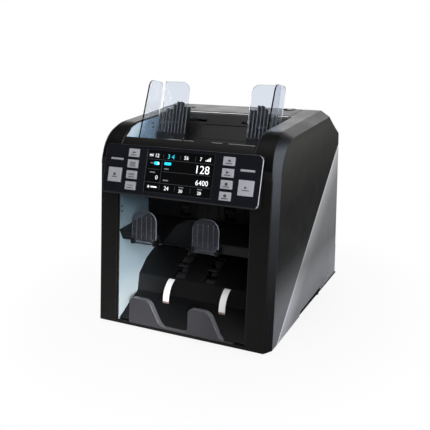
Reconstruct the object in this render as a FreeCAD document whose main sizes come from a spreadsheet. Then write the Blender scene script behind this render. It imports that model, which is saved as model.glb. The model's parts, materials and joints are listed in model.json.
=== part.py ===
import FreeCAD, Part
import math
import os
import re
import Sketcher
from FreeCAD import Placement, Rotation, Vector

# Two-pocket banknote sorter, standing on its feet.
# +X is to its right, -Y is its front, +Z is up; the origin is the middle of the footprint.

doc = FreeCAD.newDocument("banknote_sorter")
sheet = doc.addObject("Spreadsheet::Sheet", "Sizes")

# Driving sizes in millimetres and degrees
SIZES = {
    "body_width": 266, "body_depth": 280, "body_height": 272, "foot_height": 4, "skin": 2.4,
    "seam": 0.4, "slip": 0.2, "run_fit": 0.05, "front_lean": 9.6, "front_from_side": 6.8,
    "opening_step": 2.1, "shoulder_radius": 56, "crown_from_side": 13.8, "top_band_drop": 8,
    "front_band_depth": 11.5, "rear_slope_inset": 46, "rear_slope_drop": 38.4,
    "rear_band_drop": 5, "facet_lean": 4, "crease_rear_rise_drop": 52,
    "crease_front_reach_inset": 27, "grip_rise": 6, "grip_front": 28, "grip_rear_inset": 83,
    "corner_rise": 54.5, "frame_half": 97.2, "frame_plate": 2, "frame_top_drop": 2.7,
    "tray_plate": 2.5, "bezel_plate": 3, "bezel_top_drop": 50, "header_bottom_drop": 85,
    "bar_top_drop": 13.5, "sill_rise": 4, "panel_half": 115, "panel_slope": 65,
    "panel_tilt": 20.7, "panel_edge_stand": 15.3625, "panel_edge_rise_drop": 80.8,
    "fascia_plate": 2.5, "panel_corner": 8, "panel_lip": 1.6, "screen_wide": 98.3,
    "screen_tall": 54.5, "screen_centre": 33.2, "module_depth": 3.6, "key_wide": 16,
    "key_tall": 10.7, "key_across": 69.7, "key_first": 10.9, "key_pitch": 14.5, "key_count": 4,
    "big_key_wide": 20.4, "big_key_tall": 19.2, "big_key_across": 96.2, "big_key_centre": 23.5,
    "key_stand": 1.4, "key_travel": 0.8, "key_gap": 0.15, "key_flange": 1, "bar_wide": 19.4,
    "bar_tall": 2.6, "bar_across": 95.7, "bar_centre": 44.9, "board_plate": 1.2,
    "board_drop": 5.4, "floor_front_setback": 32.652, "floor_front_drop": 34, "floor_rear_y": 9,
    "floor_rear_drop": 41.7, "sheet_plate": 2.5, "wall_foot_y": 2, "wall_foot_drop": 35.5,
    "wall_head_y": 30, "wall_head_drop": 0.8, "wall_shift": 4, "ledge": 6, "slot_rise_drop": 9.5,
    "slot_tall": 3, "slot_inner": 27.5, "slot_end_gap": 4.2, "pane_lean": 20, "pane_plate": 2.2,
    "pane_inner": 48, "pane_corner_gap": 8.7, "pane_foot_drop": 33.5, "pane_rise": 46,
    "pane_base_y": -13, "pane_gap": 1.1, "web_top_drop": 6, "fin_pitch": 5.4, "fin_plate": 2,
    "fin_depth": 9, "fin_count": 9, "carrier_tall": 12, "arm_inner": 62, "arm_gap": 5.2,
    "arm_reach": 40, "shaft_radius": 4, "bearing_radius": 8,
    "bearing_wide": 4, "shaft_reach": 4.3, "pickup_y": -6, "pickup_drop": 47.5,
    "pickup_radius": 11.5, "pickup_across": 14.3, "pickup_wide": 7, "feed_y": 16,
    "feed_drop": 58.5, "feed_radius": 13, "feed_across": 40, "feed_wide": 14, "retard_radius": 9,
    "roller_gap": 0.3, "transport_y": 70, "transport_drop": 122, "transport_radius": 30,
    "transport_wide": 16, "transport_across": 50, "stacker_y": -42, "stacker_z": 48,
    "stacker_radius": 31, "stacker_left_x": -31.5, "stacker_right_x": 16.5, "wheel_wide": 14,
    "blade_count": 10, "blade_plate": 2, "hub_radius": 14, "reject_y": -20, "reject_rise": 23,
    "reject_radius": 22, "reject_across": 35, "slot_gap": 1.5, "reject_pocket_tall": 52,
    "tray_front_inset": 24.5, "tray_back": 40, "wedge_drop": 16, "stop_wide": 38,
    "stop_tall": 43, "stop_plate": 2.5, "stop_left_x": -54.9, "stop_right_x": 38.2,
    "stop_corner": 15, "stop_foot_drop": 12, "stop_pin": 1.5, "knuckle_radius": 2.6, "stop_rib": 0.8,
    "stop_pin_setback": 19.4, "lug_wide": 4, "lobe_plate": 9, "lobe_pitch": 92.4,
    "strip_wide": 9.5, "strip_plate": 1.2, "strip_left_x": -40.5, "strip_right_x": 47.5,
    "lid_gap": 5, "lid_plate": 2.5, "lid_rear_inset": 2.5, "lid_front": 33.9, "lid_pin_inset": 10,
    "lid_pin_drop": 42.5, "pin_radius": 2.5, "ear_wide": 6, "rear_face_inset": 3,
    "door_bottom": 76, "door_top_drop": 53, "door_pin_inset": 7.5, "door_pin_z": 79,
    "door_plate": 2.5, "rear_panel_top": 73, "inlet_x": -52, "inlet_z": 40, "inlet_wide": 62,
    "inlet_tall": 28, "socket_wide": 24, "socket_tall": 16.5, "socket_deep": 16,
    "rocker_wide": 12, "rocker_tall": 18, "rocker_turn": 8, "rocker_pin": 1.2, "motor_inset": 52,
    "motor_z": 62, "motor_radius": 21, "motor_long": 62, "pulley_radius": 9,
    "big_pulley_radius": 18, "belt_plate": 1.5, "belt_wide": 6, "belt_offset": 8.8,
    "foot_radius": 8, "front_foot_from_side": 21, "front_foot_setback": 26,
    "rear_foot_from_side": 12, "rear_foot_inset": 79, "sensor_near": 52, "sensor_far": 78,
    "sensor_drop": 50, "sensor_tall": 14, "sensor_cap": 3, "sensor_cap_half": 88,
    "supply_near": 22, "supply_far": 92, "supply_inset": 18, "supply_deep": 62, "supply_top": 38,
    "board_gap": 5, "board_front": 50, "board_rear": 90, "board_low": 55, "board_high": 172,
    "spacer_radius": 3, "spacer_inset": 6, "tie_front_inset": 40, "tie_rear_inset": 20,
    "tie_low": 13, "tie_middle_y": 20, "tie_lower": 30, "tie_upper_drop": 87,
    "tie_rear_rise": 100, "tie_rear_drop": 67, "fold_setback": 6, "fold_low_z": 9,
    "fold_run": 50, "fold_z": 31, "fold_top_y": 77, "fold_top_z": 54, "crest_y": 55,
    "crest_z": 70, "fold_end_y": 27, "fold_end_z": 80, "back_low_y": 26.5, "back_low_z": 81,
    "back_mid_y": 31, "back_top_gap": 4, "back_plate": 2.2, "lobe_top": 44.5,
    "lobe_saddle": 3, "lobe_start": 77.6, "lobe_wide": 31, "lobe_fall": 19, "lobe_step": 1.4,
    "lobe_span": 160.5, "lobe_round": 7, "lobe_shoulder": 14, "lobe_valley": 13,
    "side_pane_reach": 46, "side_pane_crest": 33.5, "side_pane_rise": 7, "side_pane_dip": 2,
    "side_pane_foot": 1, "pane_round": 12, "pane_small_round": 3, "side_foot_round": 6,
    "side_crest_round": 8, "thumb_radius": 9, "thumb_x": 73, "thumb_inset": 52,
    "lid_mark_x": 76, "lid_mark_wide": 10, "lid_mark_deep": 3, "lid_mark_inset": 70,
    "recess_deep": 1.2, "strip_run": 14, "strip_bow_out": 5, "strip_bow_up": 3,
}

# Places that follow from the overall sizes and the distances above
PLACES = {
    "bezel_top": "body_height - bezel_top_drop",
    "header_bottom": "body_height - header_bottom_drop",
    "bar_top": "body_height - bar_top_drop",
    "panel_edge_rise": "body_height - panel_edge_rise_drop",
    "floor_front_z": "body_height - floor_front_drop",
    "floor_rear_z": "body_height - floor_rear_drop",
    "wall_foot_z": "body_height - wall_foot_drop",
    "wall_head_z": "body_height - wall_head_drop",
    "slot_rise": "body_height - slot_rise_drop",
    "pane_foot": "body_height - pane_foot_drop",
    "web_top": "body_height - web_top_drop",
    "pickup_z": "body_height - pickup_drop",
    "feed_z": "body_height - feed_drop",
    "lid_pin_z": "body_height - lid_pin_drop",
    "frame_top": "body_height - frame_top_drop",
    "door_top": "body_height - door_top_drop",
    "crease_rear_rise": "body_height - crease_rear_rise_drop",
    "pane_top": "body_height + pane_rise",
    "tray_top": "header_bottom - reject_pocket_tall",
    "wedge_foot": "tray_top - wedge_drop",
    "stop_foot": "tray_top - stop_foot_drop",
    "reject_z": "tray_top + reject_rise",
    "transport_z": "body_height - transport_drop",
    "motor_y": "body_depth / 2 - motor_inset",
    "rear_slope_start": "body_depth / 2 - rear_slope_inset",
    "lid_rear": "body_depth / 2 - lid_rear_inset",
    "lid_pin_y": "body_depth / 2 - lid_pin_inset",
    "rear_face": "body_depth / 2 - rear_face_inset",
    "door_pin_y": "body_depth / 2 - door_pin_inset",
    "rear_foot_y": "body_depth / 2 - rear_foot_inset",
    "grip_rear": "body_depth / 2 - grip_rear_inset",
    "panel_edge_front": "body_depth / 2 + panel_edge_stand"
                        " - tan(front_lean) * (panel_edge_rise - foot_height)",
    "tray_front": "body_depth / 2 - tray_front_inset",
    "crease_front_reach": "body_depth / 2 - crease_front_reach_inset",
    "stop_pin_y": "-body_depth / 2 + stop_pin_setback",
    "front_foot_y": "-body_depth / 2 + front_foot_setback",
    "floor_front_y": "-body_depth / 2 + shoulder_radius / cos(front_lean) - floor_front_setback"
                     " + tan(front_lean) * (body_height - shoulder_radius - foot_height)",
    "front_half": "body_width / 2 - front_from_side",
    "crown_half": "body_width / 2 - crown_from_side",
    "front_foot_x": "body_width / 2 - front_foot_from_side",
    "rear_foot_x": "body_width / 2 - rear_foot_from_side",
    "opening_half": "frame_half + opening_step",
    "lid_half": "frame_half - lid_gap",
    "side_pane_face": "frame_half - pane_gap",
    "slot_outer": "frame_half - slot_end_gap",
    "arm_outer": "frame_half - arm_gap",
    "pane_outer": "frame_half - pane_corner_gap",
    "shaft_half": "frame_half + shaft_reach",
    "belt_lane": "frame_half + belt_offset",
}
for row, (alias, value) in enumerate(SIZES.items(), start=1):
    sheet.set(f"A{row}", alias)
    sheet.set(f"B{row}", str(value))
    sheet.setAlias(f"B{row}", alias)
for row, (alias, formula) in enumerate(PLACES.items(), start=len(SIZES) + 1):
    sheet.set(f"A{row}", alias)
    sheet.set(f"B{row}", "=" + formula)
    sheet.setAlias(f"B{row}", alias)
doc.recompute()


class Dimensions:
    """The sheet's values under their own names, for shapes made from curves."""


size = Dimensions()
for alias in [*SIZES, *PLACES]:
    setattr(size, alias, float(sheet.get(alias)))

WORD = re.compile(r"[a-z][a-z_]+")
parts = []


def link(text):
    """Point every size named in an expression at its cell."""
    def cell(match):
        word = match.group(0)
        return "Sizes." + word if word in SIZES or word in PLACES else word
    return WORD.sub(cell, text)


def bind(thing, prop, text):
    thing.setExpression(prop, link(str(text)))


def keep(thing, label):
    """Register a finished sub-part under the name of its file."""
    thing.Label = label
    parts.append(thing)
    return thing


def block(x_span, y_span, z_span):
    """A box between two limits along each axis."""
    box = doc.addObject("Part::Box", "block")
    spans = (x_span, y_span, z_span)
    for prop, (low, high) in zip(("Length", "Width", "Height"), spans):
        bind(box, prop, f"({high}) - ({low})")
    for axis, (low, _high) in zip("xyz", spans):
        bind(box, f"Placement.Base.{axis}", low)
    return box


def rod(radius, x_span, at_y, at_z):
    """A cylinder that lies along X."""
    bar = doc.addObject("Part::Cylinder", "rod")
    bar.Placement = Placement(Vector(), Rotation(Vector(0, 1, 0), 90))
    bind(bar, "Radius", radius)
    bind(bar, "Height", f"({x_span[1]}) - ({x_span[0]})")
    for axis, place in zip("xyz", (x_span[0], at_y, at_z)):
        bind(bar, f"Placement.Base.{axis}", place)
    return bar


def post(radius, at_x, at_y, z_span):
    """A cylinder that stands along Z."""
    bar = doc.addObject("Part::Cylinder", "post")
    bind(bar, "Radius", radius)
    bind(bar, "Height", f"({z_span[1]}) - ({z_span[0]})")
    for axis, place in zip("xyz", (at_x, at_y, z_span[0])):
        bind(bar, f"Placement.Base.{axis}", place)
    return bar


def join(pieces):
    """Several bodies of material as one."""
    if len(pieces) == 1:
        return pieces[0]
    whole = doc.addObject("Part::MultiFuse", "join")
    whole.Shapes = pieces
    whole.Refine = True
    return whole


def group(pieces):
    """Separate solids that share a name."""
    bundle = doc.addObject("Part::Compound", "group")
    bundle.Links = pieces
    return bundle


def cut(base, tools):
    """Material taken away from a base."""
    result = doc.addObject("Part::Cut", "cut")
    result.Base = base
    result.Tool = join(tools)
    return result


def feature(label, shape):
    """A sub-part whose form follows curves worked out from the sheet."""
    thing = doc.addObject("Part::Feature", label)
    thing.Shape = shape
    return thing


def sketch_outline(body, role, points, depth):
    """A closed outline on one of the body's own planes, each corner bound to the sheet."""
    plane = [item for item in body.Origin.OriginFeatures if item.Role == role][0]
    sketch = body.newObject("Sketcher::SketchObject", "outline")
    sketch.AttachmentSupport = (plane, "")
    sketch.MapMode = "FlatFace"
    bind(sketch, ".AttachmentOffset.Base.z", depth)
    count = len(points)
    ring = [Vector(20 * math.cos(2 * math.pi * i / count), 20 * math.sin(2 * math.pi * i / count), 0)
            for i in range(count)]
    lines = [Part.LineSegment(ring[i], ring[(i + 1) % count]) for i in range(count)]
    sketch.addGeometry(lines, False)
    for i in range(count):
        sketch.addConstraint(Sketcher.Constraint("Coincident", i, 2, (i + 1) % count, 1))
    for i, corner in enumerate(points):
        for kind, text, start in zip(("DistanceX", "DistanceY"), corner, (ring[i].x, ring[i].y)):
            number = sketch.addConstraint(Sketcher.Constraint(kind, -1, 1, i, 1, start))
            bind(sketch, f"Constraints[{number}]", text)
    return sketch


def profile(role, points, span):
    """A body padded from a straight-sided outline between two depths."""
    body = doc.addObject("PartDesign::Body", "profile")
    sketch = sketch_outline(body, role, points, span[0])
    pad = body.newObject("PartDesign::Pad", "pad")
    pad.Profile = sketch
    bind(pad, "Length", f"({span[1]}) - ({span[0]})")
    body.Tip = pad
    return body


def across(points, half_width, clear="0"):
    """A profile in YZ that runs from one side to the other."""
    return profile("YZ_Plane", points, (f"-({half_width}) + {clear}", f"({half_width}) - {clear}"))


def place_on_panel(thing):
    """Set a piece drawn flat on the tilted control panel, its outer face at local zero."""
    thing.Placement = Placement(Vector(), Rotation(Vector(1, 0, 0), 90 - size.panel_tilt))
    bind(thing, "Placement.Base.y", "-panel_edge_front")
    bind(thing, "Placement.Base.z", "panel_edge_rise")
    bind(thing, "Placement.Rotation.Angle", "90 - panel_tilt")
    return thing


# Lines of the outer form, as expressions of the sheet

def front_at(height):
    """Y of the leaning front plane at a height."""
    return f"(-body_depth / 2 + tan(front_lean) * (({height}) - foot_height))"


ARC_Z = "(body_height - shoulder_radius)"
ARC_Y = f"({front_at(ARC_Z)} + shoulder_radius / cos(front_lean))"


def shoulder_at(turn, depth):
    """A point under the shoulder curve, given by its turn from the front and its depth."""
    reach = f"(shoulder_radius - ({depth}))"
    return (f"{ARC_Y} - {reach} * cos({turn})", f"{ARC_Z} + {reach} * sin({turn})")


lean = math.radians(size.front_lean)
arc_z = size.body_height - size.shoulder_radius
arc_y = (-size.body_depth / 2 + math.tan(lean) * (arc_z - size.foot_height)
         + size.shoulder_radius / math.cos(lean))
half_depth = size.body_depth / 2
half_width = size.body_width / 2
slope_end = size.body_height - size.rear_slope_drop
slope_turn = math.atan2(size.rear_slope_drop, half_depth - size.rear_slope_start)


def front_y(z):
    return -half_depth + math.tan(lean) * (z - size.foot_height)


def side_outline(inset, bottom):
    """The side view of the casing, drawn in by an inset, as a face in the plane x = 0."""
    reach = size.shoulder_radius - inset
    tangent = Vector(0, arc_y - reach * math.cos(lean), arc_z + reach * math.sin(lean))
    middle = math.radians((size.front_lean + 90) / 2)
    bulge = Vector(0, arc_y - reach * math.cos(middle), arc_z + reach * math.sin(middle))
    crown = Vector(0, arc_y, size.body_height - inset)
    foot = Vector(0, front_y(bottom) + inset / math.cos(lean), bottom)
    slope_top = Vector(0, size.rear_slope_start - inset * math.tan(slope_turn / 2),
                       size.body_height - inset)
    rear_turn = math.pi / 2 - slope_turn
    slope_low = Vector(0, half_depth - inset, slope_end - inset * math.tan(rear_turn / 2))
    heel = Vector(0, half_depth - inset, bottom)
    edges = [Part.makeLine(foot, tangent), Part.Arc(tangent, bulge, crown).toShape()]
    chain = [crown, slope_top, slope_low, heel, foot]
    edges += [Part.makeLine(a, b) for a, b in zip(chain, chain[1:])]
    return Part.Face(Part.Wire(edges))


def band_cutter(inset):
    """The slanting band round the casing's outer edge: narrow in front, wide on top."""
    half_slope = slope_turn / 2
    rear_mid = (slope_turn + math.pi / 2) / 2
    rear_half = (math.pi / 2 - slope_turn) / 2
    front_normal = (-math.cos(lean), math.sin(lean))
    low = -5 * size.foot_height
    front_band = (size.front_half, size.front_band_depth)
    crown_band = (size.crown_half, size.top_band_drop)
    rear_band = (half_width - size.rear_band_drop, size.rear_band_drop)
    stations = [((front_y(low), low), front_normal, front_band)]
    steps = 12
    for i in range(steps + 1):
        share = i / steps
        turn = lean + (math.pi / 2 - lean) * share
        normal = (-math.cos(turn), math.sin(turn))
        spot = (arc_y + size.shoulder_radius * normal[0], arc_z + size.shoulder_radius * normal[1])
        band = [a + (b - a) * share for a, b in zip(front_band, crown_band)]
        stations.append((spot, normal, band))
    stations.append(((size.rear_slope_start, size.body_height),
                     (math.tan(half_slope), 1), crown_band))
    stations.append(((half_depth, slope_end),
                     (math.sin(rear_mid) / math.cos(rear_half),
                      math.cos(rear_mid) / math.cos(rear_half)), rear_band))
    stations.append(((half_depth, low), (1, 0), rear_band))
    sections = []
    far = 2 * size.front_band_depth
    for (y, z), (ny, nz), (start, drop) in stations:
        run = half_width - start
        long = math.hypot(run, drop)
        along = (run / long, drop / long)
        start_x = start - inset * along[1]
        start_depth = inset * along[0]
        ends = [(start_x - far * along[0], start_depth - far * along[1]),
                (start_x + far * along[0], start_depth + far * along[1]),
                (half_width + far, start_depth - far * along[1])]
        corners = [Vector(x, y - ny * depth, z - nz * depth) for x, depth in ends]
        sections.append(Part.makePolygon(corners + corners[:1]))
    return Part.makeLoft(sections, True, True)


def facet_cutter(inset):
    """The lower rear of each side leans in below a straight crease."""
    rear = Vector(half_width, half_depth, size.crease_rear_rise)
    front = Vector(half_width, -size.crease_front_reach, size.foot_height)
    corner = Vector(half_width - size.facet_lean, half_depth, size.foot_height)
    crease = (rear - front)
    along = Vector(crease)
    along.normalize()
    spread = (corner - front) - along * (corner - front).dot(along)
    start = front - crease * 0.3
    end = rear + crease * 0.3
    ring = [start, end, end + spread * 2, start + spread * 2, start]
    wedge = Part.Face(Part.makePolygon(ring)).extrude(Vector(size.front_band_depth, 0, 0))
    wedge.translate(Vector(-inset, 0, 0))
    return wedge


def casing(inset, bottom, inner_x):
    """One side of the casing as a filled form, drawn in by an inset."""
    face = side_outline(inset, bottom)
    face.translate(Vector(inner_x, 0, 0))
    solid = face.extrude(Vector(half_width - inset - inner_x, 0, 0))
    return solid.cut(band_cutter(inset)).cut(facet_cutter(inset))


grip_z = size.foot_height + size.grip_rise
horn_start = size.grip_rear + size.foot_radius


def corner_arc(clear):
    """The rising lower edge at the rear, as an arc that leaves the grip and meets the rear."""
    start = Vector(0, horn_start, grip_z + clear)
    end = Vector(0, half_depth - clear, size.corner_rise + clear)
    chord = end - start
    sag = Vector(0, chord.z, -chord.y)
    sag.normalize()
    middle = start + chord * 0.5 + sag * chord.Length * 0.1
    return Part.Arc(start, middle, end).toShape(), start, end


def below_edge():
    """The space under the cover's lower edge: hand grip, foot notch and rear corner."""
    arc, start, end = corner_arc(0)
    low = size.foot_height / 2
    front = Vector(0, -size.grip_front, low)
    ramp = Vector(0, -size.grip_front + size.grip_rise, grip_z)
    chain = [Vector(0, end.y, low), front, ramp, start]
    edges = [arc, Part.makeLine(end, chain[0])]
    edges += [Part.makeLine(a, b) for a, b in zip(chain, chain[1:])]
    return Part.Face(Part.Wire(edges)).extrude(Vector(half_width + size.skin, 0, 0))


def span_box(x_low, x_high, y_low, y_high, z_low, z_high):
    return Part.makeBox(x_high - x_low, y_high - y_low, z_high - z_low,
                        Vector(x_low, y_low, z_low))


seam_x = size.lid_half + size.seam
hopper_x = size.frame_half + size.slip
right_shell = casing(0, size.foot_height, seam_x)
right_shell = right_shell.cut(casing(size.skin, -size.foot_height, seam_x - size.skin))
right_shell = right_shell.cut(below_edge())
right_shell = right_shell.cut(span_box(0, hopper_x, -size.body_depth, size.lid_front,
                                       0, 2 * size.body_height))
front_skin = span_box(0, size.front_half + size.slip, -size.body_depth, arc_y,
                      0, size.bezel_top + size.slip)
right_shell = right_shell.cut(front_skin)
keep(feature("right_cover", right_shell), "right_cover")
keep(feature("left_cover", right_shell.mirror(Vector(), Vector(1, 0, 0))), "left_cover")

# Steel side frames that carry every shaft and pin
SLOPE = "rear_slope_drop / (body_depth / 2 - rear_slope_start)"
frame_rear = "(body_depth / 2 - 1.5 * skin)"
SHAFTS = {
    "pickup": ("pickup_y", "pickup_z"),
    "feed": ("feed_y", "feed_z"),
    "retard": ("feed_y + (feed_radius + retard_radius + roller_gap) * cos(45)",
               "feed_z + (feed_radius + retard_radius + roller_gap) * sin(45)"),
    "transport": ("transport_y", "transport_z"),
    "stacker": ("stacker_y", "stacker_z"),
    "reject": ("reject_y", "reject_z"),
}
FRAME_OUTLINE = [
    (front_at("foot_height + tray_plate") + " + bezel_plate + slip * 3", "foot_height + tray_plate"),
    shoulder_at("front_lean", "bezel_plate + slip * 3"),
    shoulder_at(32, "skin + slip * 3"),
    shoulder_at(50, "skin + slip * 3"),
    shoulder_at(68, "skin + slip * 3"),
    (ARC_Y, "frame_top"),
    ("rear_slope_start - skin", "frame_top"),
    (frame_rear, f"frame_top - ({frame_rear} - rear_slope_start + skin) * {SLOPE}"),
    (frame_rear, "foot_height + tray_plate"),
]
for side, low, high in (("left", "-frame_half - frame_plate", "-frame_half"),
                        ("right", "frame_half", "frame_half + frame_plate")):
    plate = profile("YZ_Plane", FRAME_OUTLINE, (low, high))
    reach = (f"{low} - skin", f"{high} + skin")
    holes = [rod("bearing_radius + run_fit", reach, y, z) for y, z in SHAFTS.values()]
    holes.append(rod("pin_radius + run_fit", reach, "lid_pin_y", "lid_pin_z"))
    if side == "left":
        holes.append(rod("shaft_radius + 2 * skin", reach, "motor_y", "motor_z"))
    holes.append(rod("pin_radius + run_fit", reach, "door_pin_y", "door_pin_z"))
    keep(cut(plate, holes), f"{side}_side_frame")

# Leaning front bezel: two pillars, sill, header and the curved bar before the hopper
pillar = [(front_at("foot_height"), "foot_height"), (front_at("bezel_top"), "bezel_top"),
          (front_at("bezel_top") + " + bezel_plate", "bezel_top"),
          (front_at("foot_height") + " + bezel_plate", "foot_height")]
header = [(front_at("header_bottom"), "header_bottom"), pillar[1], pillar[2],
          (front_at("header_bottom") + " + bezel_plate", "header_bottom")]
sill = [(front_at("foot_height"), "foot_height"),
        (front_at("foot_height + sill_rise"), "foot_height + sill_rise"),
        (front_at("foot_height + sill_rise") + " + bezel_plate", "foot_height + sill_rise"),
        (front_at("foot_height") + " + bezel_plate", "foot_height")]


def hopper_bar():
    """The curved strip of casing between the panel and the hopper mouth."""
    outer = size.shoulder_radius
    inner = outer - size.bezel_plate
    end_turn = math.asin((size.bar_top - arc_z) / outer)
    mid_turn = (lean + end_turn) / 2

    def spot(reach, turn):
        return Vector(-hopper_x + 2 * size.slip, arc_y - reach * math.cos(turn),
                      arc_z + reach * math.sin(turn))

    low = size.bezel_top - size.bezel_plate
    shift = size.bezel_plate / math.cos(lean)
    foot = Vector(spot(outer, lean).x, front_y(low), low)
    heel = foot + Vector(0, shift, 0)
    edges = [Part.makeLine(foot, spot(outer, lean)),
             Part.Arc(spot(outer, lean), spot(outer, mid_turn), spot(outer, end_turn)).toShape(),
             Part.makeLine(spot(outer, end_turn), spot(inner, end_turn)),
             Part.Arc(spot(inner, end_turn), spot(inner, mid_turn), spot(inner, lean)).toShape(),
             Part.makeLine(spot(inner, lean), heel), Part.makeLine(heel, foot)]
    return Part.Face(Part.Wire(edges)).extrude(Vector(2 * (hopper_x - 2 * size.slip), 0, 0))


bezel_pieces = [
    profile("YZ_Plane", pillar, ("-front_half", "-opening_half")),
    profile("YZ_Plane", pillar, ("opening_half", "front_half")),
    across(header, "front_half"), across(sill, "front_half"),
    feature("hopper_bar", hopper_bar()),
]
keep(join(bezel_pieces), "front_bezel")

# Base tray with the raised rear corners that show below the covers
tray_half = "(body_width / 2 - skin - seam)"


def rear_corner(side):
    """One raised corner: a side wall under the cover's edge and a wall across the rear."""
    arc, start, end = corner_arc(-size.seam)
    low = size.foot_height
    chain = [Vector(0, end.y, low), Vector(0, start.y, low), start]
    edges = [arc, Part.makeLine(end, chain[0])]
    edges += [Part.makeLine(a, b) for a, b in zip(chain, chain[1:])]
    block_out = Part.Face(Part.Wire(edges)).extrude(Vector(half_width, 0, 0))
    block_out = block_out.cut(facet_cutter(size.slip))
    block_out = block_out.cut(span_box(0, size.body_width, half_depth - size.seam,
                                       size.body_depth, 0, size.body_height))
    block_out = block_out.cut(span_box(0, half_width - size.facet_lean - size.skin, 0,
                                       half_depth - size.seam - size.skin,
                                       low + size.tray_plate, size.body_height))
    block_out = block_out.cut(span_box(0, seam_x, -size.body_depth, size.body_depth,
                                       low + size.tray_plate, size.body_height))
    return block_out if side > 0 else block_out.mirror(Vector(), Vector(1, 0, 0))


tray_front = front_at("foot_height") + " + bezel_plate + slip * 3"
tray_step = "-grip_front + grip_rise"
tray_span = ("foot_height", "foot_height + tray_plate")
front_part = block(("-front_half + 2 * seam", "front_half - 2 * seam"), (tray_front, tray_step),
                   tray_span)
rear_part = block((f"-{tray_half}", tray_half), (tray_step, "body_depth / 2 - seam"), tray_span)
base_tray = join([front_part, rear_part, feature("corner", rear_corner(1)),
                  feature("corner", rear_corner(-1))])
keep(base_tray, "base_tray")
feet = [post("foot_radius", f"{sign} * {x}", y, (0, "foot_height"))
        for x, y in (("front_foot_x", "front_foot_y"), ("rear_foot_x", "rear_foot_y"))
        for sign in (-1, 1)]
keep(group(feet), "rubber_feet")

# Control panel, drawn flat with its outer face at zero and then tilted into place

def panel_at(rise, depth):
    """Y and Z of a spot on the panel, from its distance up the slope and under its face."""
    return (f"-panel_edge_front + ({rise}) * sin(panel_tilt) + ({depth}) * cos(panel_tilt)",
            f"panel_edge_rise + ({rise}) * cos(panel_tilt) - ({depth}) * sin(panel_tilt)")


housing_outline = [
    panel_at(0, "fascia_plate"), panel_at("panel_slope - slip * 5", "fascia_plate"),
    shoulder_at(35, "-seam"), shoulder_at(22, "-seam"), shoulder_at("front_lean", "-seam"),
    (front_at("header_bottom") + " - seam", "header_bottom"),
]
housing_space = [panel_at("skin", 0), panel_at("panel_slope - 1.5 * skin", 0),
                 panel_at("panel_slope - 1.5 * skin", "4 * panel_corner"),
                 panel_at("skin", "4 * panel_corner")]
housing = cut(across(housing_outline, "panel_half - slip * 5"),
              [across(housing_space, "panel_half - slip * 5 - skin")])
keep(housing, "panel_housing")


def window(across_x, centre, wide, tall, clear):
    """A rectangular opening through the fascia."""
    return block((f"{across_x} - ({wide}) / 2 - ({clear})", f"{across_x} + ({wide}) / 2 + ({clear})"),
                 (f"{centre} - ({tall}) / 2 - ({clear})", f"{centre} + ({tall}) / 2 + ({clear})"),
                 ("-2 * fascia_plate", "fascia_plate"))


fascia_body = doc.addObject("PartDesign::Body", "fascia")
fascia_sketch = sketch_outline(
    fascia_body, "XY_Plane",
    [("-panel_half", "-panel_lip"), ("panel_half", "-panel_lip"), ("panel_half", "panel_slope"),
     ("-panel_half", "panel_slope")], "-fascia_plate")
fascia_pad = fascia_body.newObject("PartDesign::Pad", "fascia_pad")
fascia_pad.Profile = fascia_sketch
bind(fascia_pad, "Length", "fascia_plate")
doc.recompute()
upright = [f"Edge{i + 1}" for i, edge in enumerate(fascia_pad.Shape.Edges)
           if abs(edge.tangentAt(edge.FirstParameter).z) > 1 - size.run_fit]
fascia_round = fascia_body.newObject("PartDesign::Fillet", "fascia_round")
fascia_round.Base = (fascia_pad, upright)
bind(fascia_round, "Radius", "panel_corner")
fascia_body.Tip = fascia_round
windows = [window("0", "screen_centre", "screen_wide", "screen_tall", "0")]
for sign in ("-1", "1"):
    for row in range(int(size.key_count)):
        windows.append(window(f"{sign} * key_across", f"key_first + {row} * key_pitch",
                              "key_wide", "key_tall", "key_gap"))
    windows.append(window(f"{sign} * big_key_across", "big_key_centre",
                          "big_key_wide", "big_key_tall", "key_gap"))
    windows.append(window(f"{sign} * bar_across", "bar_centre", "bar_wide", "bar_tall", "key_gap"))
keep(place_on_panel(cut(fascia_body, windows)), "panel_fascia")

module_back = "-fascia_plate - module_depth"
module_case = block(("-screen_wide / 2 - skin", "screen_wide / 2 + skin"),
                    ("screen_centre - screen_tall / 2 - skin",
                     "screen_centre + screen_tall / 2 + skin / 4"),
                    (module_back, "-fascia_plate"))
module_glass = block(("-screen_wide / 2 + run_fit", "screen_wide / 2 - run_fit"),
                     ("screen_centre - screen_tall / 2 + run_fit",
                      "screen_centre + screen_tall / 2 - run_fit"),
                     ("-fascia_plate - slip", "-2 * slip"))
keep(place_on_panel(join([module_case, module_glass])), "display_module")


def key(label, across_x, centre, wide, tall):
    """One push key: cap through the fascia, flange behind it and a stem towards its switch."""
    def layer(low, high, grow):
        return block((f"{across_x} - {wide} / 2 - ({grow})", f"{across_x} + {wide} / 2 + ({grow})"),
                     (f"{centre} - {tall} / 2 - ({grow})", f"{centre} + {tall} / 2 + ({grow})"),
                     (low, high))
    flange_face = "-fascia_plate - slip / 2"
    flange_back = f"{flange_face} - key_flange"
    cap = layer(f"{flange_face} - key_flange / 2", "key_stand", "0")
    flange = layer(flange_back, flange_face, "key_flange")
    stem = layer("-board_drop + key_travel + slip / 2", f"{flange_back} + key_flange / 2",
                 f"-{tall} / 3")
    keep(place_on_panel(join([cap, flange, stem])), label)


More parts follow.
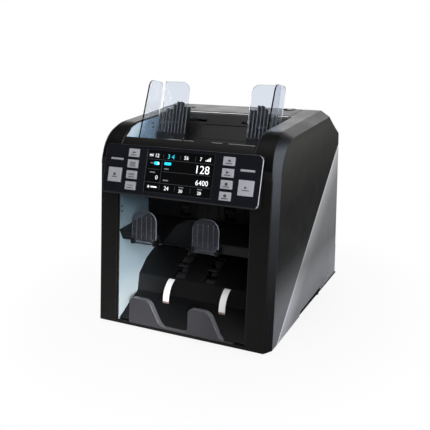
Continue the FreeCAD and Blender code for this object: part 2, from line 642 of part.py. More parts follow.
for side, sign in (("left", "-1"), ("right", "1")):
    for row in range(int(size.key_count)):
        key(f"{side}_key_{row + 1}", f"{sign} * key_across", f"(key_first + {row} * key_pitch)",
            "key_wide", "key_tall")
    key(f"{side}_big_key", f"{sign} * big_key_across", "big_key_centre", "big_key_wide",
        "big_key_tall")
bars = [window(f"{sign} * bar_across", "bar_centre", "bar_wide", "bar_tall", "key_gap / -3")
        for sign in ("-1", "1")]
for bar in bars:
    bind(bar, "Placement.Base.z", "-fascia_plate")
    bind(bar, "Height", "fascia_plate + slip")
keep(place_on_panel(group(bars)), "indicator_bars")
board_near = "screen_wide / 2 + 2 * skin"
board_far = "panel_half - slip * 6 - skin"
boards = [block(reach, ("2 * skin", "panel_slope - 3.2 * skin"),
                ("-board_drop - board_plate", "-board_drop"))
          for reach in ((board_near, board_far), (f"-({board_far})", f"-({board_near})"))]
keep(place_on_panel(group(boards)), "keypad_board")

# Hopper: floor, leaning back wall and the slots that its guides slide in
inner_half = "frame_half - slip"
floor_outline = [
    ("floor_front_y - sheet_plate", "floor_front_z - sheet_plate"),
    ("floor_rear_y", "floor_rear_z - sheet_plate"), ("floor_rear_y", "floor_rear_z"),
    ("floor_front_y", "floor_front_z"), ("floor_front_y", "bar_top - 2 * sheet_plate"),
    ("floor_front_y - sheet_plate", "bar_top - 2 * sheet_plate"),
]
floor_slots = [block((f"{sign} * pickup_across - pickup_wide / 2 - slot_gap",
                      f"{sign} * pickup_across + pickup_wide / 2 + slot_gap"),
                     ("pickup_y - pickup_radius - slot_gap", "pickup_y + pickup_radius + slot_gap"),
                     ("pickup_z", "floor_front_z")) for sign in (-1, 1)]
keep(cut(across(floor_outline, inner_half), floor_slots), "hopper_floor")
ledge_z = "body_height - lid_plate - slip"
wall_outline = [
    ("wall_foot_y", "wall_foot_z"), ("wall_foot_y + wall_shift", "wall_foot_z"),
    (f"wall_head_y + wall_shift - slip", f"{ledge_z} - sheet_plate"),
    (f"wall_head_y + wall_shift + ledge", f"{ledge_z} - sheet_plate"),
    (f"wall_head_y + wall_shift + ledge", ledge_z),
    (f"lid_front - seam * 2", ledge_z), ("lid_front - seam * 2", "wall_head_z"),
    ("wall_head_y", "wall_head_z"),
]
wall_slots = [block(span, ("wall_foot_y", "wall_head_y + ledge"),
                    ("slot_rise - slot_tall / 2", "slot_rise + slot_tall / 2"))
              for span in (("slot_inner", "slot_outer"), ("-slot_outer", "-slot_inner"))]
keep(cut(across(wall_outline, inner_half), wall_slots), "hopper_back_wall")


def rounded_face(corners):
    """A flat face from corners with their own rounding radii."""
    count = len(corners)
    edges = []
    ends = []
    for i in range(count):
        spot, radius = corners[i]
        before = corners[i - 1][0] - spot
        after = corners[(i + 1) % count][0] - spot
        if radius:
            half = before.getAngle(after) / 2
            trim = radius / math.tan(half)
            before.normalize()
            after.normalize()
            middle = before + after
            middle.normalize()
            bulge = spot + middle * (radius / math.sin(half) - radius)
            start, end = spot + before * trim, spot + after * trim
            edges.append(Part.Arc(start, bulge, end).toShape())
            ends.append((start, end))
        else:
            ends.append((spot, spot))
    for i in range(count):
        start, end = ends[i][1], ends[(i + 1) % count][0]
        if (end - start).Length > 1e-6:
            edges.append(Part.makeLine(start, end))
    return Part.Face(Part.Wire(Part.__sortEdges__(edges)))


def leaned(shape, angle, base_y, base_z):
    """Tip a form drawn upright in XZ back by an angle and set its foot in place."""
    shape.rotate(Vector(), Vector(1, 0, 0), -angle)
    shape.translate(Vector(0, base_y, base_z))
    return shape


# Hopper guides: a clear pane with two wings on a ribbed carrier that runs in the wall's slot
FIN_RISES = [37.5, 37.5, 43.5, 43.5, 49.5, 53.5, 53.5, 47.5, 47.5]
slope_scale = 1 / math.cos(math.radians(size.pane_lean))


def up_pane(z):
    """Distance along the leaning pane from its foot to a height."""
    return (z - size.pane_foot) * slope_scale


def guide_pane():
    tall = up_pane(size.pane_top)
    back = rounded_face([(Vector(size.pane_inner, 0, 0), 0), (Vector(size.pane_outer, 0, 0), 0),
                         (Vector(size.pane_outer, 0, tall), size.pane_small_round),
                         (Vector(size.pane_inner, 0, tall), size.pane_round)])
    back = back.extrude(Vector(0, size.pane_plate, 0))
    inner_x = size.side_pane_face - size.pane_plate
    web = span_box(size.pane_outer - size.pane_plate, size.side_pane_face, 0, size.pane_plate,
                   0, up_pane(size.web_top))
    pane = leaned(back.fuse(web), size.pane_lean, size.pane_base_y, size.pane_foot)
    tip = math.tan(math.radians(size.pane_lean))
    thick_y = size.pane_plate * slope_scale
    web_y = size.pane_base_y + tip * (size.web_top - size.pane_foot) + thick_y
    low = size.pane_foot + size.side_pane_foot
    side = rounded_face([
        (Vector(inner_x, size.pane_base_y - size.side_pane_reach, low), size.side_foot_round),
        (Vector(inner_x, size.pane_base_y + thick_y, low), 0),
        (Vector(inner_x, web_y, size.web_top), 0),
        (Vector(inner_x, size.pane_base_y + size.side_pane_crest,
                size.pane_top - size.side_pane_dip), size.side_crest_round),
        (Vector(inner_x, size.pane_base_y - size.side_pane_foot,
                size.pane_top + size.side_pane_rise), size.pane_round)])
    return pane.fuse(side.extrude(Vector(size.pane_plate, 0, 0))).removeSplitter()


def guide_carrier():
    near = size.pane_plate
    outer = size.side_pane_face
    inner = size.pane_inner - size.seam
    solid = span_box(inner, outer, near, near + size.fin_depth, 0, size.carrier_tall)
    for i, rise in enumerate(FIN_RISES[:int(size.fin_count)]):
        x = outer - near - size.seam - size.fin_plate - i * size.fin_pitch
        solid = solid.fuse(span_box(x, x + size.fin_plate, near, near + size.fin_depth,
                                    size.carrier_tall / 2, rise * slope_scale))
    solid = leaned(solid, size.pane_lean, size.pane_base_y, size.pane_foot)
    solid = solid.cut(span_box(0, size.body_width, -size.body_depth, size.body_depth, 0,
                               size.pickup_z + size.pickup_radius + size.seam))
    tip = math.tan(math.radians(size.pane_lean))
    half_arm = size.slot_tall / 2 - size.slip
    low = size.slot_rise - half_arm
    start_y = size.pane_base_y + tip * (low - size.pane_foot) + (near + size.fin_plate) * slope_scale
    arm = span_box(size.arm_inner, size.arm_outer, start_y, size.arm_reach,
                   low, size.slot_rise + half_arm)
    return solid.fuse(arm).removeSplitter()


for label, shape in (("guide_pane", guide_pane()), ("guide_carrier", guide_carrier())):
    keep(feature(f"right_{label}", shape), f"right_{label}")
    keep(feature(f"left_{label}", shape.mirror(Vector(), Vector(1, 0, 0))), f"left_{label}")

# Reject pocket: tray with a hand recess, back plate, and the clear stops on its front lip
PIN_CLEAR = size.run_fit


def reject_tray():
    """Shelf with wedge-shaped wings, a deep finger recess and the lugs of both stops."""
    wide = size.frame_half - size.slip
    back, front = -size.tray_back, -size.tray_front
    left_edge = size.stop_left_x + size.stop_wide / 2 + size.lug_wide / 2
    right_edge = size.stop_right_x - size.stop_wide / 2 - size.lug_wide / 2
    recess = rounded_face([(Vector(left_edge, front - 30, 0), 0),
                           (Vector(left_edge, back - 5, 0), 22),
                           (Vector(right_edge, back - 5, 0), 22),
                           (Vector(right_edge, front - 30, 0), 0)])
    recess = recess.extrude(Vector(0, 0, size.body_height))
    solid = span_box(-wide, wide, front, back, size.tray_top - size.sheet_plate, size.tray_top)
    run = size.tray_top - size.wedge_foot
    wedge = Part.makePolygon([Vector(-wide, front, size.tray_top),
                              Vector(-wide, front + run * math.tan(lean) * 2, size.wedge_foot),
                              Vector(-wide, back - 30, size.tray_top - size.sheet_plate),
                              Vector(-wide, front, size.tray_top)])
    wedge = Part.Face(wedge).extrude(Vector(2 * wide, 0, 0))
    solid = solid.fuse(wedge).cut(recess)
    for stop_x in (size.stop_left_x, size.stop_right_x):
        for sign in (-1, 1):
            near = stop_x + sign * (size.stop_wide / 2 - size.lug_wide + size.slip)
            low = min(near, near + sign * size.lug_wide)
            eye = Part.makeCylinder(size.knuckle_radius + 1, size.lug_wide,
                                    Vector(low, size.stop_pin_y, size.stop_foot), Vector(1, 0, 0))
            arm = span_box(low, low + size.lug_wide, size.stop_pin_y, front + 6,
                           size.stop_foot - size.knuckle_radius,
                           size.stop_foot + size.knuckle_radius)
            bore = Part.makeCylinder(size.stop_pin + PIN_CLEAR, 3 * size.lug_wide,
                                     Vector(low - size.lug_wide, size.stop_pin_y, size.stop_foot),
                                     Vector(1, 0, 0))
            solid = solid.fuse(eye.fuse(arm)).cut(bore)
    return solid.removeSplitter()


def reject_stop(stop_x):
    """Clear flap with a rounded head and ribs, on a knuckle with a stub pin at each end."""
    half = size.stop_wide / 2
    inner = half - size.lug_wide - size.slip
    rise = 2 * size.knuckle_radius
    face = rounded_face([(Vector(-inner, 0, 0), 0), (Vector(-inner, 0, rise), 0),
                         (Vector(-half, 0, rise), 0), (Vector(-half, 0, size.stop_tall), 15),
                         (Vector(half, 0, size.stop_tall), 15), (Vector(half, 0, rise), 0),
                         (Vector(inner, 0, rise), 0), (Vector(inner, 0, 0), 0)])
    solid = face.extrude(Vector(0, size.stop_plate, 0))
    solid.translate(Vector(0, -size.stop_plate / 2, 0))
    for i in range(4):
        x = (i - 1.5) * size.stop_wide / 5
        rib = span_box(x - size.stop_rib, x + size.stop_rib, -size.stop_plate / 2 - size.stop_rib,
                       0, rise, size.stop_tall - size.stop_corner / 2)
        solid = solid.fuse(rib)
    solid = leaned(solid, size.front_lean, 0, 0)
    knuckle = Part.makeCylinder(size.knuckle_radius, 2 * inner, Vector(-inner, 0, 0), Vector(1, 0, 0))
    pin_end = half - size.slip
    pin = Part.makeCylinder(size.stop_pin, 2 * pin_end, Vector(-pin_end, 0, 0), Vector(1, 0, 0))
    solid = solid.fuse(knuckle).fuse(pin).removeSplitter()
    solid.translate(Vector(stop_x, size.stop_pin_y, size.stop_foot))
    return solid


keep(feature("reject_tray", reject_tray()), "reject_tray")
keep(feature("left_reject_stop", reject_stop(size.stop_left_x)), "left_reject_stop")
keep(feature("right_reject_stop", reject_stop(size.stop_right_x)), "right_reject_stop")
reject_plate_outline = [
    ("-tray_back + slip", "tray_top"), ("-tray_back + sheet_plate + slip", "tray_top"),
    ("-tray_back + 2 * sheet_plate + slip", "header_bottom - bezel_plate"),
    ("-tray_back + sheet_plate + slip", "header_bottom - bezel_plate"),
]


def wheel_slot(at_x, half_height, at_y, at_z, reach):
    return block((f"{at_x} - wheel_wide / 2 - slot_gap", f"{at_x} + wheel_wide / 2 + slot_gap"),
                 (f"{at_y} - {reach} - slot_gap", at_y),
                 (f"{at_z} - ({half_height})", f"{at_z} + ({half_height})"))


reject_slots = [wheel_slot(f"{sign} * reject_across", "reject_radius - slot_gap", "reject_y",
                           "reject_z", "reject_radius") for sign in (-1, 1)]
ribs = [block((f"{x} * body_width / 16 - slip * 4", f"{x} * body_width / 16 + slip * 4"),
              ("-tray_back - seam", "-tray_back + sheet_plate"),
              ("tray_top + slip", "header_bottom - 3 * bezel_plate"))
        for x in (-4.5, -3.5, -1, 0, 1, 3.5, 4.5)]
reject_plate = join([across(reject_plate_outline, inner_half)] + ribs)
keep(cut(reject_plate, reject_slots), "reject_back_plate")

# Stacker pocket: folded floor, back plate, front stop and the white guide strips
floor_front = front_y(size.foot_height) + size.fold_setback
FLOOR_LINE = [(floor_front, size.fold_low_z), (floor_front + size.fold_run, size.fold_z),
              (-size.fold_top_y, size.fold_top_z), (-size.crest_y, size.crest_z),
              (-size.fold_end_y, size.fold_end_z)]


def stacker_outline(clear):
    """The folded floor in side view, made thicker all round by a clearance."""
    over = [(y - clear, z + clear) for y, z in FLOOR_LINE]
    under = [(y + 0.7 * size.sheet_plate + clear, z - size.sheet_plate - clear)
             for y, z in reversed(FLOOR_LINE)]
    spots = [Vector(0, y, z) for y, z in over + under]
    return Part.Face(Part.makePolygon(spots + spots[:1]))


def stacker_floor():
    wide = size.frame_half - size.slip
    face = stacker_outline(0)
    face.translate(Vector(-wide, 0, 0))
    solid = face.extrude(Vector(2 * wide, 0, 0))
    reach = size.stacker_radius + size.slot_gap
    for wheel_x in (size.stacker_left_x, size.stacker_right_x):
        half = size.wheel_wide / 2 + size.slot_gap
        solid = solid.cut(span_box(wheel_x - half, wheel_x + half, size.stacker_y - reach,
                                   size.body_depth, size.stacker_z - size.slot_gap * 4,
                                   size.body_height))
    return solid


def front_stop():
    """Leaning plate with two lobes that hold the stack; each falls away in an S curve."""
    foot = size.foot_height + size.sill_rise
    top = size.lobe_top - foot
    saddle = size.lobe_saddle
    first = -size.lobe_start
    corners = [(Vector(first, 0, 0), 0)]
    for i in range(2):
        x = first + i * size.lobe_pitch
        far = x + size.lobe_wide
        corners += [(Vector(x, 0, top), size.lobe_round), (Vector(far, 0, top), size.lobe_shoulder),
                    (Vector(far + size.lobe_fall, 0, saddle - size.lobe_step * i),
                     size.lobe_valley)]
        if i == 0:
            corners.append((Vector(x + size.lobe_pitch, 0, saddle), size.lobe_round))
    last = first + size.lobe_span
    corners += [(Vector(last, 0, saddle - size.lobe_step), 0), (Vector(last, 0, 0), 0)]
    plate = rounded_face(corners).extrude(Vector(0, size.lobe_plate, 0))
    plate = leaned(plate, size.front_lean, front_y(foot), foot)
    floor_space = stacker_outline(size.slip)
    floor_space.translate(Vector(-half_width, 0, 0))
    plate = plate.cut(floor_space.extrude(Vector(size.body_width, 0, 0)))
    return max(plate.cut(span_box(-half_width, half_width, -size.body_depth, size.body_depth,
                                  0, foot)).Solids, key=lambda piece: piece.Volume)


def guide_strip(middle_x):
    """Thin white strip bowed from the upper fold of the floor down to its lower part."""
    top = Vector(middle_x - size.strip_wide / 2, FLOOR_LINE[2][0] - size.slip, FLOOR_LINE[2][1])
    fall = (FLOOR_LINE[1][1] - FLOOR_LINE[0][1]) / (FLOOR_LINE[1][0] - FLOOR_LINE[0][0])
    end_y = FLOOR_LINE[1][0] - size.strip_run
    end = Vector(top.x, end_y, FLOOR_LINE[1][1] + fall * (end_y - FLOOR_LINE[1][0]) + size.seam)
    bulge = (top + end) * 0.5 + Vector(0, -size.strip_bow_out, size.strip_bow_up)
    shift = Vector(0, -size.strip_plate, size.strip_plate / 3)
    edges = [Part.Arc(top, bulge, end).toShape(), Part.makeLine(end, end + shift),
             Part.Arc(end + shift, bulge + shift, top + shift).toShape(),
             Part.makeLine(top + shift, top)]
    return Part.Face(Part.Wire(edges)).extrude(Vector(size.strip_wide, 0, 0))


keep(feature("stacker_floor", stacker_floor()), "stacker_floor")
keep(feature("front_stop", front_stop()), "front_stop")
keep(feature("guide_strips", Part.makeCompound([guide_strip(size.strip_left_x),
                                                guide_strip(size.strip_right_x)])),
     "stack_guide_strips")
back_line = [("-back_low_y", "back_low_z"), ("-back_mid_y", "(back_low_z + tray_top) / 2"),
             ("-tray_back", "tray_top - back_top_gap")]
back_outline = back_line + [(y + " + back_plate", z) for y, z in reversed(back_line)]
keep(across(back_outline, inner_half), "stacker_back_plate")

# Shafts, rollers and wheels between the side frames


def shaft(name, label, reach=("-shaft_half", "shaft_half")):
    at_y, at_z = SHAFTS[name]
    return keep(rod("shaft_radius", reach, at_y, at_z), label)


def rollers(name, label, radius, wide, places):
    """Rubber or plastic rollers on one shaft, each with its bore."""
    at_y, at_z = SHAFTS[name]
    pieces = []
    for at_x in places:
        span = (f"{at_x} - ({wide}) / 2", f"{at_x} + ({wide}) / 2")
        pieces.append(cut(rod(radius, span, at_y, at_z),
                          [rod("shaft_radius + run_fit / 2", span, at_y, at_z)]))
    return keep(group(pieces) if len(pieces) > 1 else pieces[0], label)


def paddle_wheel(radius, wide, middle):
    """Hub with curved blades that sweep back from it."""
    hub = Part.makeCylinder(size.hub_radius, wide, Vector(middle[0] - wide / 2, *middle[1:]),
                            Vector(1, 0, 0))
    count = int(size.blade_count)
    for i in range(count):
        turn = 2 * math.pi * i / count
        root = size.hub_radius - size.blade_plate
        sweep = [(root, turn), ((root + radius) / 2, turn + 0.12), (radius, turn + 0.42)]
        spots = [Vector(middle[0] - wide / 2, middle[1] + reach * math.cos(angle),
                        middle[2] + reach * math.sin(angle)) for reach, angle in sweep]
        late = [Vector(spot.x, middle[1] + reach * math.cos(angle + size.blade_plate / reach),
                       middle[2] + reach * math.sin(angle + size.blade_plate / reach))
                for spot, (reach, angle) in zip(spots, sweep)]
        edges = [Part.Arc(*spots).toShape(), Part.makeLine(spots[2], late[2]),
                 Part.Arc(late[2], late[1], late[0]).toShape(), Part.makeLine(late[0], spots[0])]
        hub = hub.fuse(Part.Face(Part.Wire(edges)).extrude(Vector(wide, 0, 0)))
    bore = Part.makeCylinder(size.shaft_radius + size.run_fit / 2, wide,
                             Vector(middle[0] - wide / 2, *middle[1:]), Vector(1, 0, 0))
    return hub.cut(bore)


shaft("pickup", "pickup_shaft")
rollers("pickup", "pickup_rollers", "pickup_radius", "pickup_wide",
        ("-pickup_across", "pickup_across"))
shaft("feed", "feed_shaft")
rollers("feed", "feed_rollers", "feed_radius", "feed_wide", ("-feed_across", "0", "feed_across"))
retard_y, retard_z = SHAFTS["retard"]
keep(join([rod("shaft_radius", ("-shaft_half", "shaft_half"), retard_y, retard_z),
           rod("retard_radius", ("-feed_across - feed_wide / 2", "-feed_across + feed_wide / 2"),
               retard_y, retard_z),
           rod("retard_radius", ("feed_across - feed_wide / 2", "feed_across + feed_wide / 2"),
               retard_y, retard_z)]), "retard_roller")
belt_reach = "-belt_lane - belt_wide / 2"
shaft_y, shaft_z = SHAFTS["transport"]
keep(join([rod("shaft_radius", (f"{belt_reach} - slot_gap", "shaft_half"), shaft_y, shaft_z),
           rod("big_pulley_radius", (belt_reach, "-belt_lane + belt_wide / 2"),
               shaft_y, shaft_z)]), "transport_shaft")
rollers("transport", "transport_rollers", "transport_radius", "transport_wide",
        ("-transport_across", "0", "transport_across"))
shaft("stacker", "stacker_shaft")
stacker_wheels = [paddle_wheel(size.stacker_radius, size.wheel_wide,
                               (x, size.stacker_y, size.stacker_z))
                  for x in (size.stacker_left_x, size.stacker_right_x)]
keep(feature("stacker_wheels", Part.makeCompound(stacker_wheels)), "stacker_wheels")
shaft("reject", "reject_shaft")
reject_wheels = [paddle_wheel(size.reject_radius, size.wheel_wide,
                              (sign * size.reject_across, size.reject_y, size.reject_z))
                 for sign in (-1, 1)]
keep(feature("reject_wheels", Part.makeCompound(reject_wheels)), "reject_wheels")

bearings = []
for at_y, at_z in SHAFTS.values():
    for low, high in (("-frame_half - bearing_wide", "-frame_half"),
                      ("frame_half", "frame_half + bearing_wide")):
        bearings.append(cut(rod("bearing_radius", (low, high), at_y, at_z),
                            [rod("shaft_radius + run_fit", (low, high), at_y, at_z)]))
keep(group(bearings), "shaft_bearings")

# Top lid over the upper transport, hinged at its rear on pins in the side frames
lid_low = f"body_height - (lid_rear - rear_slope_start) * {SLOPE}"
lid_thick = f"lid_plate / cos(atan({SLOPE}))"
lid_outline = [
    ("lid_front", "body_height"), ("rear_slope_start", "body_height"), ("lid_rear", lid_low),
    ("lid_rear", f"{lid_low} - {lid_thick}"),
    (f"rear_slope_start - lid_plate * tan(atan({SLOPE}) / 2)", "body_height - lid_plate"),
    ("lid_front", "body_height - lid_plate"),
]
ear_low = "lid_pin_z - pin_radius - 1"
ear_front = "lid_pin_y - pin_radius - 2"
ear_rear = "lid_pin_y + pin_radius + 1.5"


def under_slope(at_y):
    return f"body_height - ({at_y} - rear_slope_start) * {SLOPE} - {lid_thick} / 2"


ear_outline = [(ear_front, ear_low), (ear_rear, ear_low), (ear_rear, under_slope(ear_rear)),
               (ear_front, under_slope(ear_front))]
pin_end = "frame_half + frame_plate + slip"
lid_pieces = [across(lid_outline, "lid_half")]
for sign in (1, -1):
    span = ("lid_half - ear_wide", "lid_half")
    pin_span = ("lid_half - ear_wide / 2", pin_end)
    if sign < 0:
        span = ("-lid_half", "-lid_half + ear_wide")
        pin_span = (f"-({pin_end})", "-lid_half + ear_wide / 2")
    lid_pieces += [profile("YZ_Plane", ear_outline, span),
                   rod("pin_radius", pin_span, "lid_pin_y", "lid_pin_z")]
recess_span = ("body_height - recess_deep", "body_height + recess_deep")
mark_y = "body_depth / 2 - lid_mark_inset"
recesses = [post("thumb_radius", "thumb_x", "body_depth / 2 - thumb_inset", recess_span),
            block(("-lid_mark_x - lid_mark_wide / 2", "-lid_mark_x + lid_mark_wide / 2"),
                  (f"{mark_y} - lid_mark_deep / 2", f"{mark_y} + lid_mark_deep / 2"), recess_span)]
keep(cut(join(lid_pieces), recesses), "top_lid")

# Rear: fixed lower panel, a door that opens downwards, and the mains inlet with its switch
door_inner = "rear_face - door_plate"
door_pieces = [block(("-lid_half", "lid_half"), (door_inner, "rear_face"),
                     ("door_bottom", "door_top")),
               block((-22, 22), ("rear_face", "body_depth / 2 - slip"),
                     ("door_top - 18", "door_top - 14"))]
for sign in (1, -1):
    span = ("lid_half - ear_wide", "lid_half")
    pin_span = ("lid_half - ear_wide / 2", pin_end)
    if sign < 0:
        span = ("-lid_half", "-lid_half + ear_wide")
        pin_span = (f"-({pin_end})", "-lid_half + ear_wide / 2")
    door_pieces += [block(span, ("door_pin_y - pin_radius", door_inner),
                          ("door_bottom + slip", "door_pin_z + pin_radius + 1")),
                    rod("pin_radius", pin_span, "door_pin_y", "door_pin_z")]
keep(join(door_pieces), "rear_door")
panel_bottom = "foot_height + tray_plate"
rear_plate = block(("-lid_half", "lid_half"), (door_inner, "rear_face"),
                   (panel_bottom, "rear_panel_top"))


def rear_block(middle, wide, level, tall, y_span, grow="0"):
    return block((f"{middle} - {wide} / 2 - {grow}", f"{middle} + {wide} / 2 + {grow}"), y_span,
                 (f"{level} - {tall} / 2 - {grow}", f"{level} + {tall} / 2 + {grow}"))


whole_depth = ("rear_face - 2 * ear_wide", "rear_face + ear_wide")
module_wide = "(inlet_wide - 2 * skin)"
module_tall = "(inlet_tall - 2 * skin)"
inlet_hole = rear_block("inlet_x", module_wide, "inlet_z", module_tall, whole_depth, "slip")
keep(cut(rear_plate, [inlet_hole]), "rear_panel")

socket_x = "(inlet_x - inlet_wide / 5)"
rocker_x = "(inlet_x + inlet_wide * 0.29)"
inlet_back = "rear_face - socket_deep - 3 * skin"
rocker_y = "(rear_face - 1.5)"
inlet_solid = join([rear_block("inlet_x", module_wide, "inlet_z", module_tall,
                               (inlet_back, "rear_face + skin / 2")),
                    rear_block("inlet_x", "inlet_wide", "inlet_z", "inlet_tall",
                               ("rear_face", "rear_face + skin"))])
well_half = "rocker_wide / 2 + slip"
inlet_holes = [rear_block(socket_x, "socket_wide", "inlet_z", "socket_tall",
                          ("rear_face + skin - socket_deep", "rear_face + 2 * skin")),
               rear_block(rocker_x, "rocker_wide", "inlet_z", "(rocker_tall + 8 * slip)",
                          ("rear_face - 3 * skin", "rear_face + 2 * skin"), "slip"),
               rod("rocker_pin + run_fit", (f"{rocker_x} - {well_half} - 1.5",
                                            f"{rocker_x} + {well_half} + 1.5"),
                   rocker_y, "inlet_z")]
blades = [block((f"{socket_x} + {x} - 1", f"{socket_x} + {x} + 1"),
                ("rear_face + skin - socket_deep - slip * 2", "rear_face - skin"),
                (f"inlet_z + {z} - 2", f"inlet_z + {z} + 2")) for x, z in ((-7, -1), (0, 3), (7, -1))]
keep(join([cut(inlet_solid, inlet_holes)] + blades), "mains_inlet")


def rocker():
    """Switch rocker with a shallow V face and a stub pin at each side."""
    half_wide, half_tall = size.rocker_wide / 2, size.rocker_tall / 2
    middle_x = size.inlet_x + size.inlet_wide * 0.29
    axle_y = size.rear_face - 1.5
    rise = half_tall * math.tan(math.radians(size.rocker_turn))
    face_y = axle_y + size.rocker_pin + size.slip
    spots = [(face_y, 0), (face_y + rise, half_tall), (axle_y - 3, half_tall),
             (axle_y - 3, -half_tall), (face_y + rise, -half_tall)]
    ring = [Vector(middle_x - half_wide, y, size.inlet_z + z) for y, z in spots]
    body = Part.Face(Part.makePolygon(ring + ring[:1])).extrude(Vector(2 * half_wide, 0, 0))
    pin_half = half_wide + 1
    pin = Part.makeCylinder(size.rocker_pin, 2 * pin_half,
                            Vector(middle_x - pin_half, axle_y, size.inlet_z), Vector(1, 0, 0))
    return body.fuse(pin)


keep(feature("power_switch", rocker()), "power_switch")
# Drive and electrics inside
motor_span = ("-frame_half", "-frame_half + motor_long")
keep(join([rod("motor_radius", motor_span, "motor_y", "motor_z"),
           rod("shaft_radius", ("-belt_lane + belt_wide / 2", "-frame_half + 1"),
               "motor_y", "motor_z")]), "main_motor")
keep(cut(rod("pulley_radius", (belt_reach, "-belt_lane + belt_wide / 2"), "motor_y", "motor_z"),
         [rod("shaft_radius / 2", (belt_reach, "-belt_lane"), "motor_y", "motor_z")]),
     "motor_pulley")


def belt():
    """Flat loop that wraps both pulleys, from its two common tangents."""
    low = (size.motor_y, size.motor_z, size.pulley_radius)
    high = (size.transport_y, size.transport_z, size.big_pulley_radius)
    gap_y, gap_z = high[0] - low[0], high[1] - low[1]
    distance = math.hypot(gap_y, gap_z)
    heading = math.atan2(gap_z, gap_y)
    offset = math.acos((low[2] - high[2]) / distance)

    def loop(grow):
        def spot(pulley, turn):
            reach = pulley[2] + grow
            return Vector(-size.belt_lane - size.belt_wide / 2, pulley[0] + reach * math.cos(turn),
                          pulley[1] + reach * math.sin(turn))
        left, right = heading + offset, heading - offset
        edges = [Part.makeLine(spot(low, left), spot(high, left)),
                 Part.Arc(spot(high, left), spot(high, heading), spot(high, right)).toShape(),
                 Part.makeLine(spot(high, right), spot(low, right)),
                 Part.Arc(spot(low, right), spot(low, heading + math.pi), spot(low, left)).toShape()]
        return Part.Face(Part.Wire(edges))
    ring = loop(size.slip + size.belt_plate).cut(loop(size.slip))
    return ring.extrude(Vector(size.belt_wide, 0, 0))


keep(feature("drive_belt", belt()), "drive_belt")
sensor_base = "body_height - sensor_drop"
keep(join([block(("-frame_half", "frame_half"), ("sensor_near", "sensor_far"),
                 (f"{sensor_base} - sensor_tall", sensor_base)),
           block(("-sensor_cap_half", "sensor_cap_half"), ("sensor_near + skin", "sensor_far - skin"),
                 (sensor_base, f"{sensor_base} + sensor_cap"))]), "sensor_unit")
keep(block(("supply_near", "supply_far"),
           ("body_depth / 2 - supply_inset - supply_deep", "body_depth / 2 - supply_inset"),
           (panel_bottom, "supply_top")), "power_supply")
board_x = "frame_half + frame_plate + board_gap"
keep(join([block((board_x, f"{board_x} + board_plate"), ("-board_front", "board_rear"),
                 ("board_low", "board_high"))]
          + [rod("spacer_radius", ("frame_half + frame_plate", board_x), y, z)
             for y in ("-board_front + spacer_inset", "board_rear - spacer_inset")
             for z in ("board_low + spacer_inset", "board_high - spacer_inset")]), "main_board")
ties = [rod("shaft_radius", ("-frame_half", "frame_half"), y, z)
        for y, z in (("-body_depth / 2 + tie_front_inset", "tie_low"),
                     ("tie_middle_y", "tie_lower"),
                     ("tie_middle_y", "body_height - tie_upper_drop"),
                     ("body_depth / 2 - tie_rear_inset", "tie_rear_rise"),
                     ("body_depth / 2 - tie_rear_inset", "body_height - tie_rear_drop"))]
keep(group(ties), "tie_bars")

# Check every object, then write one file for each sub-part
doc.recompute()
faults = [thing.Name for thing in doc.Objects
          if any(flag in thing.State for flag in ("Invalid", "Error"))]
if faults:
    raise SystemExit("failed objects: " + ", ".join(faults))
os.makedirs("parts", exist_ok=True)
for thing in parts:
    shape = thing.Shape
    if shape.isNull() or not shape.isValid():
        raise SystemExit("bad shape: " + thing.Label)
    shape.exportStep(os.path.join("parts", thing.Label + ".step"))
    print(f"{thing.Label}: {len(shape.Solids)} solids, {shape.Volume:.0f} mm3")
print(len(parts), "files")
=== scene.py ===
# %% [markdown]
# # A two-pocket banknote sorter
# The machine is a black moulded box with a hopper on top, a tilted control panel, a reject
# pocket under the panel and a stacker pocket at the bottom. The solids come from the CAD
# model as a fixed frame. This lesson gives them their finishes and adds the small forms that
# a moulded and assembled product shows: rounded edges, legends, ribs, screws and boards.

# %% Load the frame
import json
import math
import bmesh
import bpy
from mathutils import Matrix, Vector


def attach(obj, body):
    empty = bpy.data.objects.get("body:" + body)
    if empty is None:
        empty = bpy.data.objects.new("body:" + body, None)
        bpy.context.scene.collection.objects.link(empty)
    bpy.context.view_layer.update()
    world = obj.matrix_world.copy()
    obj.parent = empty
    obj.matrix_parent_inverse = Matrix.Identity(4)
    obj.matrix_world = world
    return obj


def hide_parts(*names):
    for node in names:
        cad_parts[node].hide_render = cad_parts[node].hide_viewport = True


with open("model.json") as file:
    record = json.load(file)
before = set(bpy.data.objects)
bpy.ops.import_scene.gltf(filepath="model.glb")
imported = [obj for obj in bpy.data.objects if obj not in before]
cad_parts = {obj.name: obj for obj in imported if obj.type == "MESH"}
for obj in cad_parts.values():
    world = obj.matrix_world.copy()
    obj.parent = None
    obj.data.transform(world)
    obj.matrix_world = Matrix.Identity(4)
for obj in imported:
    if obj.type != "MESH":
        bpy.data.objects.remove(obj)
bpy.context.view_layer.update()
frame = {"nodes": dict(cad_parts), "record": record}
nodes = frame["nodes"]
behaviour = frame["record"]["behaviour"]
body_of_node = {name: body for body, members in behaviour["bodies"].items() for name in members}
slot_of_node = {part["node"]: part["material_slot"] for part in frame["record"]["subparts"]}
MM = 0.001

# %% [markdown]
# ## The room: camera, floor and light
# The photograph was taken with a medium lens, a little above the machine and to its right.
# The camera could be pointed with a tracking constraint. Here its three axes are written out
# from its turn, its height and a slight roll, so that the picture's frame matches exactly.


# %% Camera at the photograph's viewing angle
def add_object(name, data):
    """A new object in the scene."""
    thing = bpy.data.objects.new(name, data)
    bpy.context.scene.collection.objects.link(thing)
    return thing


